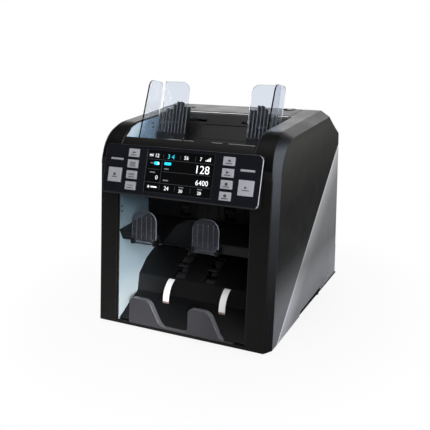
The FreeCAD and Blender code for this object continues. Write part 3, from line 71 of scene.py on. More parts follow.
UP = (0, 0, 1)
azimuth, elevation, roll = (math.radians(turn) for turn in (27.887, 18.862, -2.35))
target = Vector((-8.83, 0, 129.08)) * MM
distance = 1016.27
focal_length = 58.33
backward = Vector((math.sin(azimuth) * math.cos(elevation),
                   -math.cos(azimuth) * math.cos(elevation), math.sin(elevation)))
level_right = (-backward).cross(Vector(UP)).normalized()
level_up = level_right.cross(-backward)
right = level_right * math.cos(roll) + level_up * math.sin(roll)
upward = level_up * math.cos(roll) - level_right * math.sin(roll)
camera = add_object("camera", bpy.data.cameras.new("camera"))
camera.data.lens = focal_length
camera.data.clip_start = 0.01
camera.matrix_world = Matrix.Translation(target + backward * distance * MM) @ Matrix(
    (right, upward, backward)).transposed().to_4x4()
bpy.context.scene.camera = camera
bpy.context.scene.view_settings.view_transform = "Standard"
print("camera", [round(v, 3) for v in camera.location])

# %% [markdown]
# The machine stands on a pale matt floor. A white picture behind it would give the same
# background, but a floor also keeps the shadow. Its material fades to plain white away from
# the machine, where the camera sees it directly. Materials are trees of nodes: two helpers
# add a node with its settings and link outputs to inputs.


# %% Node helpers
def node(tree, kind, **settings):
    """Add one node; inputs are given by their names with spaces written as underscores."""
    made = tree.nodes.new(kind)
    for name, value in settings.items():
        words = name.replace("_", " ")
        if words in made.inputs:
            made.inputs[words].default_value = value
        else:
            setattr(made, name, value)
    return made


def wire(tree, *pairs):
    """Link each pair of an output and an input."""
    for start, end in pairs:
        tree.links.new(start, end)


print("node helpers ready")


# %% Floor and world
def seen_directly(tree):
    """An output that is 1 for what the camera sees itself or through clear plastic."""
    path = node(tree, "ShaderNodeLightPath")
    seen = node(tree, "ShaderNodeMath", operation="MAXIMUM")
    wire(tree, (path.outputs["Is Camera Ray"], seen.inputs[0]),
         (path.outputs["Is Transmission Ray"], seen.inputs[1]))
    return seen.outputs[0]


def floor_finish():
    """Matt pale floor; seen directly it is mostly plain white, with a hint of the shadow."""
    made = bpy.data.materials.new("floor")
    made.use_nodes = True
    tree = made.node_tree
    shader = tree.nodes["Principled BSDF"]
    shader.inputs["Base Color"].default_value = (0.5, 0.5, 0.5, 1)
    shader.inputs["Roughness"].default_value = 0.9
    place = node(tree, "ShaderNodeTexCoord")
    length = node(tree, "ShaderNodeVectorMath", operation="LENGTH")
    near, far, least = 0.12, 0.34, 0.88
    fade = node(tree, "ShaderNodeMapRange", From_Min=near, From_Max=far, To_Min=least)
    glow = node(tree, "ShaderNodeEmission", Strength=1.0)
    share = node(tree, "ShaderNodeMath", operation="MULTIPLY")
    mix = node(tree, "ShaderNodeMixShader")
    output = tree.nodes["Material Output"]
    wire(tree, (place.outputs["Object"], length.inputs[0]),
         (length.outputs["Value"], fade.inputs["Value"]),
         (seen_directly(tree), share.inputs[0]), (fade.outputs["Result"], share.inputs[1]),
         (share.outputs[0], mix.inputs["Fac"]), (shader.outputs["BSDF"], mix.inputs[1]),
         (glow.outputs["Emission"], mix.inputs[2]), (mix.outputs["Shader"], output.inputs["Surface"]))
    return made


half = 6
floor_mesh = bpy.data.meshes.new("floor")
floor_mesh.from_pydata([(-half, -half, 0), (half, -half, 0), (half, half, 0), (-half, half, 0)],
                       [], [(0, 1, 2, 3)])
floor_mesh.materials.append(floor_finish())
floor = add_object("floor", floor_mesh)
world = bpy.data.worlds.new("studio")
bpy.context.scene.world = world
world.use_nodes = True
sky = world.node_tree
level = node(sky, "ShaderNodeMapRange", To_Min=0.1, To_Max=1.0)
background = sky.nodes["Background"]
background.inputs["Color"].default_value = (1, 1, 1, 1)
wire(sky, (seen_directly(sky), level.inputs["Value"]),
     (level.outputs["Result"], background.inputs["Strength"]))
print("floor and sky")

# %% [markdown]
# A black machine shows its form mostly by what it reflects. Large soft lamps stand behind,
# above and at both sides, as for a photograph of goods. A narrow strip lights the lower side
# and a small spot lights the left end of the lower pocket.


# %% Soft lamps
def aimed(name, light, place, aim):
    """Put a light at a place in metres and point it at a spot on the machine."""
    thing = add_object(name, light)
    thing.location = place
    thing.rotation_euler = (Vector(aim) - Vector(place)).to_track_quat("-Z", "Y").to_euler()


def lamp(name, place, aim, wide, tall, power, colour=(1, 1, 1)):
    """A rectangular soft box."""
    light = bpy.data.lights.new(name, "AREA")
    light.shape = "RECTANGLE"
    light.size, light.size_y, light.energy, light.color = wide, tall, power, colour
    aimed(name, light, place, aim)


lamp("back_panel", (-0.35, 1.6, 0.78), (0, 0, 0.25), 3.0, 0.9, 18)
lamp("top_box", (-0.2, -0.3, 1.5), (0, 0, 0.15), 1.2, 0.9, 9)
lamp("left_box", (-1.5, -0.6, 0.35), (0, 0, 0.2), 0.6, 0.6, 3)
lamp("front_right", (0.75, -0.95, 0.75), (-0.097, -0.1, 0.05), 0.45, 0.45, 8)
lamp("right_box", (1.3, 0.25, 0.5), (0.13, 0.05, 0.1), 0.6, 0.5, 6)
lamp("side_strip", (0.62, -0.1, 0.085), (0.13, -0.12, 0.15), 0.35, 0.16, 0.9, (0.85, 0.93, 1))
low_light = bpy.data.lights.new("low_light", "SPOT")
low_light.energy, low_light.shadow_soft_size = 42, 0.06
low_light.spot_size, low_light.spot_blend = math.radians(19), 1.0
aimed("low_light", low_light, (0.38, -0.78, 0.3), (-0.09, -0.115, 0.025))
print("room ready")

# %% [markdown]
# ## Finishes
# Moulded plastic is never one flat colour: it has a fine spark-eroded grain, a sheen that
# changes a little from place to place, and small colour shifts. Pictures of plastic could be
# wrapped round the parts. Noise in the object's own space needs no unwrapping and shows no
# seam, so one function makes every plastic, rubber and metal from a colour, a gloss and a
# grain size.


# %% A function for plastics, rubber and metals
def finish(name, colour, rough, grain=0.0004, relief=0.00003, vary=0.12, metal=0.0,
           stretch=(1, 1, 1), sheen_vary=0.06, shine=0.5):
    """A surface whose colour, gloss and relief follow noise in the object's own space."""
    made = bpy.data.materials.new(name)
    made.use_nodes = True
    tree = made.node_tree
    shader = tree.nodes["Principled BSDF"]
    shader.inputs["Metallic"].default_value = metal
    shader.inputs["Specular IOR Level"].default_value = shine
    place = node(tree, "ShaderNodeTexCoord")
    scale = node(tree, "ShaderNodeMapping", Scale=stretch)
    fine = node(tree, "ShaderNodeTexNoise", Scale=1 / grain, Detail=3.0)
    broad = node(tree, "ShaderNodeTexNoise", Scale=22.0, Detail=4.0)
    tint = node(tree, "ShaderNodeMix", data_type="RGBA")
    tint.inputs[6].default_value = (*[c * (1 - vary) for c in colour], 1)
    tint.inputs[7].default_value = (*[min(1, c * (1 + vary)) for c in colour], 1)
    gloss = node(tree, "ShaderNodeMapRange", From_Min=0.3, From_Max=0.7,
                 To_Min=max(0.02, rough - sheen_vary), To_Max=rough + sheen_vary)
    bump = node(tree, "ShaderNodeBump", Strength=0.6, Distance=relief)
    wire(tree, (place.outputs["Object"], scale.inputs["Vector"]),
         (scale.outputs["Vector"], fine.inputs["Vector"]),
         (place.outputs["Object"], broad.inputs["Vector"]),
         (broad.outputs["Fac"], tint.inputs["Factor"]),
         (tint.outputs[2], shader.inputs["Base Color"]),
         (broad.outputs["Fac"], gloss.inputs["Value"]),
         (gloss.outputs["Result"], shader.inputs["Roughness"]),
         (fine.outputs["Fac"], bump.inputs["Height"]),
         (bump.outputs["Normal"], shader.inputs["Normal"]))
    return made


print("finish function ready")

# %% [markdown]
# Three kinds of surface build on it. Clear plastic lets light through, a lit field of the
# screen gives light of its own, and a surface with painted light is lighter or darker along
# its height, because a large moulding reflects other things at its top than at its foot. This
# painted reflection and shade could be left to the lamps alone, but a colour ramp along a
# direction paints it in exactly.

# %% Clear, lit and painted-light surfaces
PAINTED_LIGHT_HEIGHT = 0.28


def clear_plastic(name, colour, rough, clearness=1.0):
    """Tinted see-through plastic with faint moulding ripples."""
    made = finish(name, colour, rough, grain=0.012, relief=0.00002, vary=0.03, sheen_vary=0.01)
    shader = made.node_tree.nodes["Principled BSDF"]
    shader.inputs["Transmission Weight"].default_value = clearness
    shader.inputs["IOR"].default_value = 1.27
    return made


def glow(name, colour, strength):
    """A lit part of the screen's picture."""
    made = finish(name, colour, 0.3, vary=0.02)
    shader = made.node_tree.nodes["Principled BSDF"]
    shader.inputs["Emission Color"].default_value = (*colour, 1)
    shader.inputs["Emission Strength"].default_value = strength
    return made


def painted_light_ramp(made, stops, direction=UP, start=0.0, end=PAINTED_LIGHT_HEIGHT):
    """Paint light and shade along a direction by multiplying a finish's colour; a stop's factor is a
    grey or a colour.
    """
    tree = made.node_tree
    shader = tree.nodes["Principled BSDF"]
    tint = shader.inputs["Base Color"].links[0].from_socket
    place = node(tree, "ShaderNodeTexCoord")
    along = node(tree, "ShaderNodeVectorMath", operation="DOT_PRODUCT")
    along.inputs[1].default_value = direction
    share = node(tree, "ShaderNodeMapRange", From_Min=start, From_Max=end)
    ramp = node(tree, "ShaderNodeValToRGB")
    marks = ramp.color_ramp.elements
    colours = [(factor,) * 3 if isinstance(factor, (int, float)) else factor
               for _spot, factor in stops]
    for mark, spot, colour in zip(marks, (stops[0][0], stops[-1][0]), (colours[0], colours[-1])):
        mark.position, mark.color = spot, (*colour, 1)
    for (spot, _factor), colour in list(zip(stops, colours))[1:-1]:
        marks.new(spot).color = (*colour, 1)
    mixed = node(tree, "ShaderNodeVectorMath", operation="MULTIPLY")
    wire(tree, (place.outputs["Object"], along.inputs[0]),
         (along.outputs["Value"], share.inputs["Value"]),
         (share.outputs["Result"], ramp.inputs["Fac"]), (tint, mixed.inputs[0]),
         (ramp.outputs["Color"], mixed.inputs[1]),
         (mixed.outputs["Vector"], shader.inputs["Base Color"]))
    return made


print("surface functions ready")

# %% [markdown]
# Each slot of the frame has one finish. The casing is black plastic of several glosses, the
# keys and bars are silver, and the guides and stops are clear. All finishes could be made
# one by one in the editor; written as a list, their colours and glosses compare at a glance.

# %% Finishes of the casing and the controls
FINISHES = {
    "cover": finish("cover_plastic", (0.007, 0.0068, 0.0064), 0.42, shine=0.3),
    # Painted shade: the bezel's colour is darker towards its foot.
    "bezel": painted_light_ramp(finish("bezel_plastic", (0.0075, 0.0066, 0.006), 0.42, shine=0.25),
                    [(0.3, 0.4), (0.65, 0.5), (0.85, 1)]),
    "tray": finish("tray_plastic", (0.009, 0.009, 0.01), 0.5, shine=0.3),
    "foot": finish("foot_rubber", (0.012, 0.012, 0.012), 0.8, grain=0.0008, relief=0.0001),
    "fascia": finish("fascia_gloss", (0.006, 0.0068, 0.011), 0.2, grain=0.004, relief=0.00001,
                     shine=0.4),
    "screen": finish("screen_black", (0.002, 0.002, 0.0025), 0.12, grain=0.01, relief=0.000004,
                     vary=0.05, shine=0.3),
    "key": finish("key_silver", (0.52, 0.53, 0.58), 0.36, metal=0.3, vary=0.06),
    "bar": finish("bar_silver", (0.55, 0.55, 0.6), 0.3, metal=0.4, vary=0.06),
    "hopper": finish("hopper_plastic", (0.006, 0.006, 0.0065), 0.45, shine=0.3),
    "clear": clear_plastic("clear_blue_grey", (0.72, 0.765, 0.84), 0.03),
    "pocket": finish("pocket_plastic", (0.0026, 0.0026, 0.003), 0.42, shine=0.22),
    "inlet": finish("inlet_plastic", (0.01, 0.01, 0.01), 0.45),
}
print(len(FINISHES), "finishes of the outside")

# %% [markdown]
# The works inside are metal, rubber and plain plastic. Ground shafts and rolled sheet have a
# grain that runs one way, so their noise is stretched along it. The side frames' sheet also
# gets painted light along its height: lighter near its foot and in the hopper, darker under
# the control panel, and it is brighter towards its upper front corner.

# %% Finishes of the works
# Painted light and shade on the side frames, by height.
STEEL_LIGHT_RAMP = [(0.12, (1.75, 1.45, 1.3)), (0.26, (1.1, 1.0, 0.97)), (0.45, (0.9, 0.86, 0.85)),
               (0.62, (0.45, 0.5, 0.53)), (0.72, (0.4, 0.46, 0.5)), (0.95, (1.25, 1.2, 1.2))]
STEEL_TOP = 0.27
upright, lengthwise = (1, 1, 0.05), (0.05, 1, 1)
FINISHES.update({
    "steel": painted_light_ramp(finish("plated_steel", (0.4, 0.56, 0.66), 0.42, grain=0.0003, vary=0.05,
                           metal=0.2, stretch=(1, 1, 0.06)), STEEL_LIGHT_RAMP, end=STEEL_TOP),
    "board": finish("board_green", (0.01, 0.07, 0.035), 0.4, grain=0.002, relief=0.00005),
    "shaft": finish("ground_steel", (0.62, 0.62, 0.64), 0.25, grain=0.0005, metal=1.0,
                    stretch=lengthwise, vary=0.05),
    "roller": finish("roller_rubber", (0.05, 0.05, 0.05), 0.75, grain=0.0007, relief=0.00008),
    "pale_roller": finish("pale_rubber", (0.78, 0.78, 0.76), 0.7, grain=0.0007, relief=0.00006),
    "wheel": finish("wheel_plastic", (0.012, 0.012, 0.013), 0.6, grain=0.001, shine=0.15),
    "bearing": finish("bearing_plastic", (0.6, 0.58, 0.5), 0.5),
    "motor": finish("motor_paint", (0.03, 0.03, 0.034), 0.4, metal=0.6),
    "pulley": finish("turned_aluminium", (0.7, 0.7, 0.72), 0.3, metal=1.0, stretch=lengthwise),
    "belt": finish("belt_rubber", (0.012, 0.012, 0.012), 0.7, grain=0.001, relief=0.0001),
    "box": finish("plated_sheet", (0.5, 0.52, 0.54), 0.35, metal=0.9, stretch=upright),
    "strip": finish("bright_steel", (0.95, 0.95, 0.96), 0.35, metal=0.2, stretch=upright,
                    vary=0.03),
})
# Painted light: the sheet is brighter towards its upper front corner.
painted_light_ramp(FINISHES["steel"], [(0.15, 1), (0.65, (2.3, 2.15, 2.1))], (0, -0.707, 0.707), 0.2, 0.24)
print(len(FINISHES), "finishes")

# %% [markdown]
# The side covers are large mouldings with several faces: a flat side, a strip that turns to
# the front, a shoulder and a slanted rear facet below a crease. Each face mirrors another
# part of the room, so the side, the strip and the facet each get a painted reflection along
# their height; the facet is painted much lighter, with a painted highlight just below the
# crease, and the shoulder is painted shade, a darker copy of the plastic. A factor of 1
# keeps the finish's own colour.

# %% Painted reflections and shade on the covers' faces
SIDE_REFLECTION_RAMP = [(0.1, (20, 20, 25)), (0.165, (20, 20, 25)), (0.23, (15, 15, 18)),
              (0.29, (8, 8, 9.6)), (0.38, (1.9, 1.9, 2.2)), (0.45, (1, 1, 1.1)),
              (0.63, (1, 1, 1.1)), (0.71, (2, 2, 2.1)), (0.79, (3.4, 3.5, 3.5)),
              (0.9, (6.4, 6.6, 6.7))]
STRIP_REFLECTION_RAMP = [(0.24, 0.45), (0.42, 1), (0.6, 1.5), (0.68, 3.9), (0.77, 6.6), (0.857, 10),
               (0.905, 11), (0.935, 3), (0.957, 1)]
CREASE_HIGHLIGHT_RAMP = [(0.003, 2.6), (0.025, 1.5), (0.2, (0.75, 0.75, 0.76)), (0.6, (0.7, 0.7, 0.72)),
                (1, (1.3, 1.3, 1.33))]
FACET_REFLECTION_RAMP = [(0.05, (1.2, 1.2, 1.23)), (0.13, (1.35, 1.35, 1.4)), (0.2, 1.1), (0.27, 0.6),
               (0.37, 0.85), (0.48, 1), (0.6, (1.25, 1.25, 1.24)), (0.71, 1.5)]
# Lighter and darker copies of the black cover plastic: painted reflection and shade.
SIDE_REFLECTION = painted_light_ramp(finish("cover_side", (0.0058, 0.0058, 0.005), 0.5, shine=0.05), SIDE_REFLECTION_RAMP)
STRIP_REFLECTION = painted_light_ramp(finish("cover_strip_painted_reflection", (0.007, 0.0075, 0.0088), 0.42, shine=0.08), STRIP_REFLECTION_RAMP)
SHOULDER_SHADE = finish("cover_shoulder_painted_shade", (0.004, 0.0038, 0.0038), 0.42, shine=0.06)
crease = Vector((0, 0.253, 0.216)).normalized()
below = Vector((0, crease.z, -crease.y))
crease_start = below.dot(Vector((0, -0.113, 0.004)))
FACET_REFLECTION = finish("cover_facet_painted_reflection", (0.16, 0.16, 0.164), 0.38, vary=0.1)
painted_light_ramp(FACET_REFLECTION, CREASE_HIGHLIGHT_RAMP, below, crease_start, crease_start + 0.18)
painted_light_ramp(FACET_REFLECTION, FACET_REFLECTION_RAMP)
print("cover finishes ready")

# %% [markdown]
# Cut rims of clear plastic gather light from inside, so they are darker or brighter than the
# faces; here the panes' rims and the stops' ribs get painted shade and the stops' outlines a
# painted highlight. Cut edges and strip ends are small faces with a finish of their own. The
# pale lips, the fin edges, the front stop's top rim and the fascia's right edge carry painted
# highlights, the brow painted shade, and black paints the shade in recesses, grooves, vents
# and screw slots and is also ink. The screen's fields glow, and the legends are printed ink.

# %% Finishes of small parts, and painted light on rims, lips and edges
STOP_EDGE = finish("front_stop_plastic", (0.029, 0.029, 0.034), 0.36, vary=0.1)
SMOKED = clear_plastic("clear_smoked", (0.34, 0.355, 0.42), 0.05, 0.955)
# Painted shade on the panes' rims.
PANE_RIM_SHADE = clear_plastic("clear_rim_painted_shade", (0.27, 0.29, 0.35), 0.15)
# Painted highlight on the front stop's top rim.
PAINTED_HIGHLIGHT_RIM = finish("painted_highlight_rim", (0.12, 0.12, 0.13), 0.32, vary=0.05)
# Painted highlight round the stops' outline; painted shade on their ribs.
STOP_RIM_HIGHLIGHT = finish("smoked_rim_painted_highlight", (0.28, 0.29, 0.34), 0.2, vary=0.05)
STOP_RIB_SHADE = finish("smoked_rib_painted_shade", (0.07, 0.07, 0.085), 0.3, vary=0.05)
HOUSING_LIP = finish("housing_lip", (0.018, 0.018, 0.018), 0.5, shine=0.3)
STRIP_END = finish("strip_end", (0.33, 0.24, 0.22), 0.4, metal=0.3)
CUT_EDGE = finish("cut_edge", (0.02, 0.022, 0.024), 0.5, shine=0.3)
# Painted shade: a darker, less glossy copy of the bezel plastic for the brow.
BROW_SHADE = finish("brow_painted_shade", (0.004, 0.0038, 0.0038), 0.42, shine=0.12)
# Painted highlight along the fascia's right edge.
FASCIA_EDGE_HIGHLIGHT = finish("painted_edge_highlight", (0.5, 0.51, 0.54), 0.3, metal=0.4, vary=0.04)
# Painted highlight for the lip at the lid's front edge.
LID_LIP_HIGHLIGHT = finish("lid_lip_painted_highlight", (0.62, 0.62, 0.62), 0.45, vary=0.04)
# A steel strip with a painted highlight along the hopper's front edge.
FEED_LIP_STEEL_AND_HIGHLIGHT = finish("feed_lip_steel_and_highlight", (0.3, 0.28, 0.27), 0.4, vary=0.1)
# Painted highlight on the front edges of the carriers' fins.
FIN_EDGE_HIGHLIGHT = finish("fin_edge", (0.1, 0.105, 0.12), 0.4, vary=0.05)
# Black for painted shade in recesses, grooves, vents and screw slots, and ink for the switch's ring
# mark.
BLACK_SHADE_AND_INK = finish("black_shade_and_ink", (0.003, 0.003, 0.003), 0.8, shine=0.02)
BRASS = finish("brass", (0.32, 0.2, 0.08), 0.35, metal=1.0)
SCREW = finish("black_screw", (0.05, 0.05, 0.052), 0.35, metal=0.8)
ZINC = finish("zinc_screw", (0.55, 0.56, 0.58), 0.35, metal=1.0)
CHIP = finish("chip_resin", (0.012, 0.012, 0.013), 0.45)
LEGEND = finish("legend_ink", (0.05, 0.05, 0.055), 0.4, vary=0.04)
LEGEND_PALE = finish("legend_pale", (0.62, 0.63, 0.66), 0.4, vary=0.04)
WHITE = glow("screen_white", (0.9, 0.93, 0.95), 0.75)
CYAN = glow("screen_cyan", (0.02, 0.55, 0.72), 0.8)
GREY = glow("screen_grey", (0.2, 0.21, 0.22), 0.25)
LINE = glow("screen_line", (0.08, 0.084, 0.09), 0.12)
print(len(bpy.data.materials), "materials in all")

# %% [markdown]
# ## Moulded parts with rounded edges
# Every moulded or pressed part has small radii where two faces meet, and those radii carry
# the highlights. The radii could be drawn in the CAD model. Here they are made on a copy, so
# the solid stays simple: the copy has its flat regions merged, then the edges whose faces
# turn by more than an angle are rounded. Very short edges, such as the facets of a pin hole,
# stay as they are. Weighted normals keep the flat faces flat. The copy stands for the solid.


# %% Round the edges of a copy
def applied(thing):
    """A new mesh of an object as its modifiers make it."""
    return bpy.data.meshes.new_from_object(
        thing.evaluated_get(bpy.context.evaluated_depsgraph_get()))


def shade(thing):
    """Smooth shading that keeps flat faces flat and true corners sharp."""
    sharp_turn = math.radians(38)
    thing.data.shade_smooth()
    thing.data.set_sharp_from_angle(angle=sharp_turn)
    weighted = thing.modifiers.new("normals", "WEIGHTED_NORMAL")
    weighted.keep_sharp = True
    weighted.weight = 100
    done = applied(thing)
    thing.modifiers.clear()
    thing.data = done


def rounded_copy(name, radius):
    """A copy of a CAD node with rounded edges that replaces it on the same body."""
    same_place, flat, corner_turn, shortest = 0.02, 0.4, 30, 0.75
    mesh = nodes[name].data.copy()
    shape = bmesh.new()
    shape.from_mesh(mesh)
    bmesh.ops.remove_doubles(shape, verts=shape.verts, dist=same_place * MM)
    bmesh.ops.dissolve_limit(shape, angle_limit=math.radians(flat), verts=shape.verts,
                             edges=shape.edges, use_dissolve_boundaries=False)
    corners = [edge for edge in shape.edges
               if edge.is_manifold and edge.calc_face_angle(0) > math.radians(corner_turn)
               and edge.calc_length() > shortest * MM]
    bmesh.ops.bevel(shape, geom=corners, offset=radius * MM, offset_type="OFFSET", segments=2,
                    profile=0.5, affect="EDGES", clamp_overlap=False)
    wide = [face for face in shape.faces if len(face.verts) > 4]
    bmesh.ops.triangulate(shape, faces=wide, ngon_method="BEAUTY")
    shape.to_mesh(mesh)
    shape.free()
    mesh.materials.clear()
    mesh.materials.append(FINISHES[slot_of_node[name]])
    thing = add_object(name + "_moulded", mesh)
    shade(thing)
    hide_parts(name)
    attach(thing, body_of_node[name])
    return thing


SIDES = ("left", "right")
KEYS = [f"{side}_key_{row}" for side in SIDES for row in range(1, 5)]
KEYS += ["left_big_key", "right_big_key"]
ROUNDED = {
    "right_cover": 0.9, "left_cover": 0.9, "front_bezel": 0.8, "base_tray": 0.4,
    "panel_housing": 0.5, "panel_fascia": 0.7, "top_lid": 0.5, "rear_door": 0.5,
    "rear_panel": 0.4, "front_stop": 0.7, "reject_tray": 0.5, "stacker_floor": 0.5,
    "stacker_back_plate": 0.4, "reject_back_plate": 0.4, "hopper_floor": 0.7,
    "hopper_back_wall": 0.4, "right_guide_pane": 0.5, "left_guide_pane": 0.5,
    "right_guide_carrier": 0.35, "left_guide_carrier": 0.35, "left_reject_stop": 0.35,
    "right_reject_stop": 0.35, "rubber_feet": 0.6, "mains_inlet": 0.4, "power_switch": 0.3,
    "stack_guide_strips": 0.25, "power_supply": 0.4, "sensor_unit": 0.5, "indicator_bars": 0.35,
    **dict.fromkeys(KEYS, 0.5),
}
moulded = {name: rounded_copy(name, radius) for name, radius in ROUNDED.items()}
print(len(moulded), "rounded parts,", sum(len(m.data.polygons) for m in moulded.values()), "faces")

# %% [markdown]
# Some faces of a part carry painted light: painted reflection on the cover's side, front
# strip and rear facet, painted shade on its shoulder and on the brow over the panel, and
# painted shade and highlights on the rims of the clear plastic. The brown ends of the guide
# strips have a finish of their own. They could be selected by hand. A test on a face's middle
# and direction picks them again by itself when the part changes. Where a test needs a place,
# the solid gives it.


# %% Cover faces with painted reflection and shade
def span(name, axis):
    """The least and the greatest place of a solid along x, y or z, in mm."""
    places = [corner["xyz".index(axis)] for corner in nodes[name].bound_box]
    return round(min(places) / MM, 3), round(max(places) / MM, 3)


def paint(thing, material, test):
    """Give a second finish to the faces whose middle (mm) and normal pass a test."""
    thing.data.materials.append(material)
    picked = 0
    for face in thing.data.polygons:
        if test(face.center / MM, face.normal):
            face.material_index = len(thing.data.materials) - 1
            picked += 1
    print(thing.name, picked, "faces of", material.name)


def is_facet(_middle, normal):
    """A face that leans a few degrees from upright."""
    lean = math.degrees(math.acos(min(1, abs(normal.x))))
    return 0.5 < lean < 6


def is_side(middle, normal):
    """The flat outer side."""
    return abs(normal.x) > 0.9999 and abs(middle.x) > cover_side - 1


def is_front_strip(_middle, normal):
    """The strip that turns from the side to the front."""
    return 0.3 < abs(normal.x) < 0.97 and normal.y < -0.25


def is_shoulder(_middle, normal):
    """The slope above the front."""
    return abs(normal.x) <= 0.3 and normal.y < -0.12 and normal.z > 0.3


cover_side = span("right_cover", "x")[1]
# Each cover gets painted reflection on its side, front strip and facet, painted shade on its shoulder.
for side in SIDES:
    for material, test in ((SIDE_REFLECTION, is_side), (FACET_REFLECTION, is_facet), (STRIP_REFLECTION, is_front_strip),
                           (SHOULDER_SHADE, is_shoulder)):
        paint(moulded[side + "_cover"], material, test)

# %% [markdown]
# The guides' panes and the reject stops are clear mouldings. The panes' rims get painted
# shade. A stop has ribs along its arm, painted darker as shade, and a bright rim round its
# outline, a painted highlight, so its narrow faces are picked first and the outer ones among
# them again. The front edges of the carriers' fins get a painted highlight.


# %% Painted shade and highlights on the rims of the guides and the stops
def is_pane_rim(_middle, normal):
    """The narrow faces round a pane."""
    return abs(normal.x) < 0.9 and abs(normal.y) < 0.85


def is_fin_edge(middle, normal):
    """The front edges of a carrier's fins."""
    return normal.y < -0.6 and middle.z > fin_foot


def is_stop_rib(middle, normal):
    """The narrow faces of a stop above its hinge."""
    return abs(normal.y) < 0.75 and middle.z > hinge_top


fin_foot, hinge_top, rim_wide, rim_foot = 249.5, 128, 1.6, 155
for side in SIDES:
    # The pane's rims get painted shade.
    paint(moulded[side + "_guide_pane"], PANE_RIM_SHADE, is_pane_rim)
    # The fins' front edges get a painted highlight.
    paint(moulded[side + "_guide_carrier"], FIN_EDGE_HIGHLIGHT, is_fin_edge)
    stop = moulded[side + "_reject_stop"]
    stop.data.materials[0] = SMOKED
    across = [corner[0] / MM for corner in stop.bound_box]
    inner_left, inner_right = min(across) + rim_wide, max(across) - rim_wide
    # The stop's ribs get painted shade and its outer rim a painted highlight.
    paint(stop, STOP_RIB_SHADE, is_stop_rib)
    paint(stop, STOP_RIM_HIGHLIGHT, lambda middle, normal: is_stop_rib(middle, normal) and (
        not inner_left < middle.x < inner_right or middle.z > rim_foot))

# %% Single faces of the casing and the pockets
lid_high = span("top_lid", "z")[1]
stop_foot = span("front_stop", "z")[0] + 2
tray_wall, tray_rear, strip_foot, brow_foot, fascia_end = 125, 60, 29, 222, 100
moulded["front_stop"].data.materials[0] = STOP_EDGE
# The front stop's top rim gets a painted highlight.
paint(moulded["front_stop"], PAINTED_HIGHLIGHT_RIM, lambda middle, normal:
      abs(normal.y) < 0.8 and normal.z > 0.15 and middle.z > stop_foot)
# The base tray's rear corner gets the facet's painted reflection.
paint(moulded["base_tray"], FACET_REFLECTION, lambda middle, normal:
      abs(normal.x) > 0.9 and abs(middle.x) > tray_wall and middle.y > tray_rear)
# Painted shade on the floors of the lid's recesses.
paint(moulded["top_lid"], BLACK_SHADE_AND_INK, lambda middle, normal:
      normal.z > 0.9 and lid_high - 2 < middle.z < lid_high - 0.7)
paint(moulded["stack_guide_strips"], STRIP_END, lambda middle, _normal: middle.z < strip_foot)
# The brow over the panel gets painted shade.
paint(moulded["front_bezel"], BROW_SHADE, lambda middle, normal:
      normal.z > 0.25 and middle.z > brow_foot)
# The fascia's right edge gets a painted highlight.
paint(moulded["panel_fascia"], FASCIA_EDGE_HIGHLIGHT, lambda middle, normal:
      0.25 < normal.x < 0.97 and middle.x > fascia_end)

# %% [markdown]
# The other solids keep their own shape: plates with crisp sheared edges, ground shafts and
# small turned parts. They only take their finish, and the sheared front edges of the side
# frames are dark.

# %% Finishes of the remaining solids
for name, solid in nodes.items():
    if name not in moulded:
        solid.data.materials.clear()
        solid.data.materials.append(FINISHES[slot_of_node[name]])
for side in SIDES:
    paint(nodes[side + "_side_frame"], CUT_EDGE, lambda _middle, normal: normal.y < -0.5)
print(len(nodes) - len(moulded), "solids keep their own shape")

# %% [markdown]
# ## Small forms
# Lettering, lines, slabs and rings are too fine for the CAD model. Cubes and cylinders could
# be scaled for them. Here a flat shape is drawn as an outline in mm, given a thickness and
# set on a plane. The control panel has a plane of its own: across, up the slope and out of it.


# %% Outlines and thin shapes
def round_box(middle, wide, tall, radius):
    """Corner points of a rectangle with rounded corners."""
    steps, points = 4, []
    for quarter, (sx, sy) in enumerate(((1, 1), (-1, 1), (-1, -1), (1, -1))):
        cx = middle[0] + sx * (wide / 2 - radius)
        cy = middle[1] + sy * (tall / 2 - radius)
        for step in range(steps + 1):
            turn = math.pi / 2 * (quarter + step / steps)
            points.append((cx + radius * math.cos(turn), cy + radius * math.sin(turn)))
    return points


def disc(middle, radius, count=20):
    """Points of a circle."""
    return [(middle[0] + radius * math.cos(2 * math.pi * i / count),
             middle[1] + radius * math.sin(2 * math.pi * i / count)) for i in range(count)]


def finished_mesh(shape, name):
    """Turn an edit mesh into a mesh and let go of it."""
    mesh = bpy.data.meshes.new(name)
    shape.to_mesh(mesh)
    shape.free()
    return mesh


def prism(outline, low, high, place, edge=0.0):
    """A plate from an outline in mm, between two heights, set in place by a matrix."""
    shape = bmesh.new()
    rows = [[shape.verts.new((x * MM, y * MM, level * MM)) for x, y in outline]
            for level in (low, high)]
    count = len(outline)
    shape.faces.new(reversed(rows[0]))
    top = shape.faces.new(rows[1])
    for i in range(count):
        j = (i + 1) % count
        shape.faces.new((rows[0][i], rows[0][j], rows[1][j], rows[1][i]))
    if edge:
        bmesh.ops.bevel(shape, geom=list(top.edges), offset=edge * MM, segments=2, profile=0.5,
                        affect="EDGES", clamp_overlap=True)
    bmesh.ops.recalc_face_normals(shape, faces=shape.faces)
    mesh = finished_mesh(shape, "prism")
    mesh.transform(place)
    return mesh


def flat_ring(middle, outer, inner, low, high, place):
    """A flat ring with a thickness, between two radii and two heights in mm."""
    count = 40
    shape = bmesh.new()
    loops = [[shape.verts.new((x * MM, y * MM, level * MM))
              for x, y in disc(middle, radius, count)]
             for radius, level in ((outer, low), (outer, high), (inner, high), (inner, low))]
    for here, there in zip(loops, loops[1:] + loops[:1]):
        for i in range(count):
            j = (i + 1) % count
            shape.faces.new((here[i], here[j], there[j], there[i]))
    bmesh.ops.transform(shape, matrix=place, verts=shape.verts)
    return finished_mesh(shape, "ring")


print("outline functions ready")


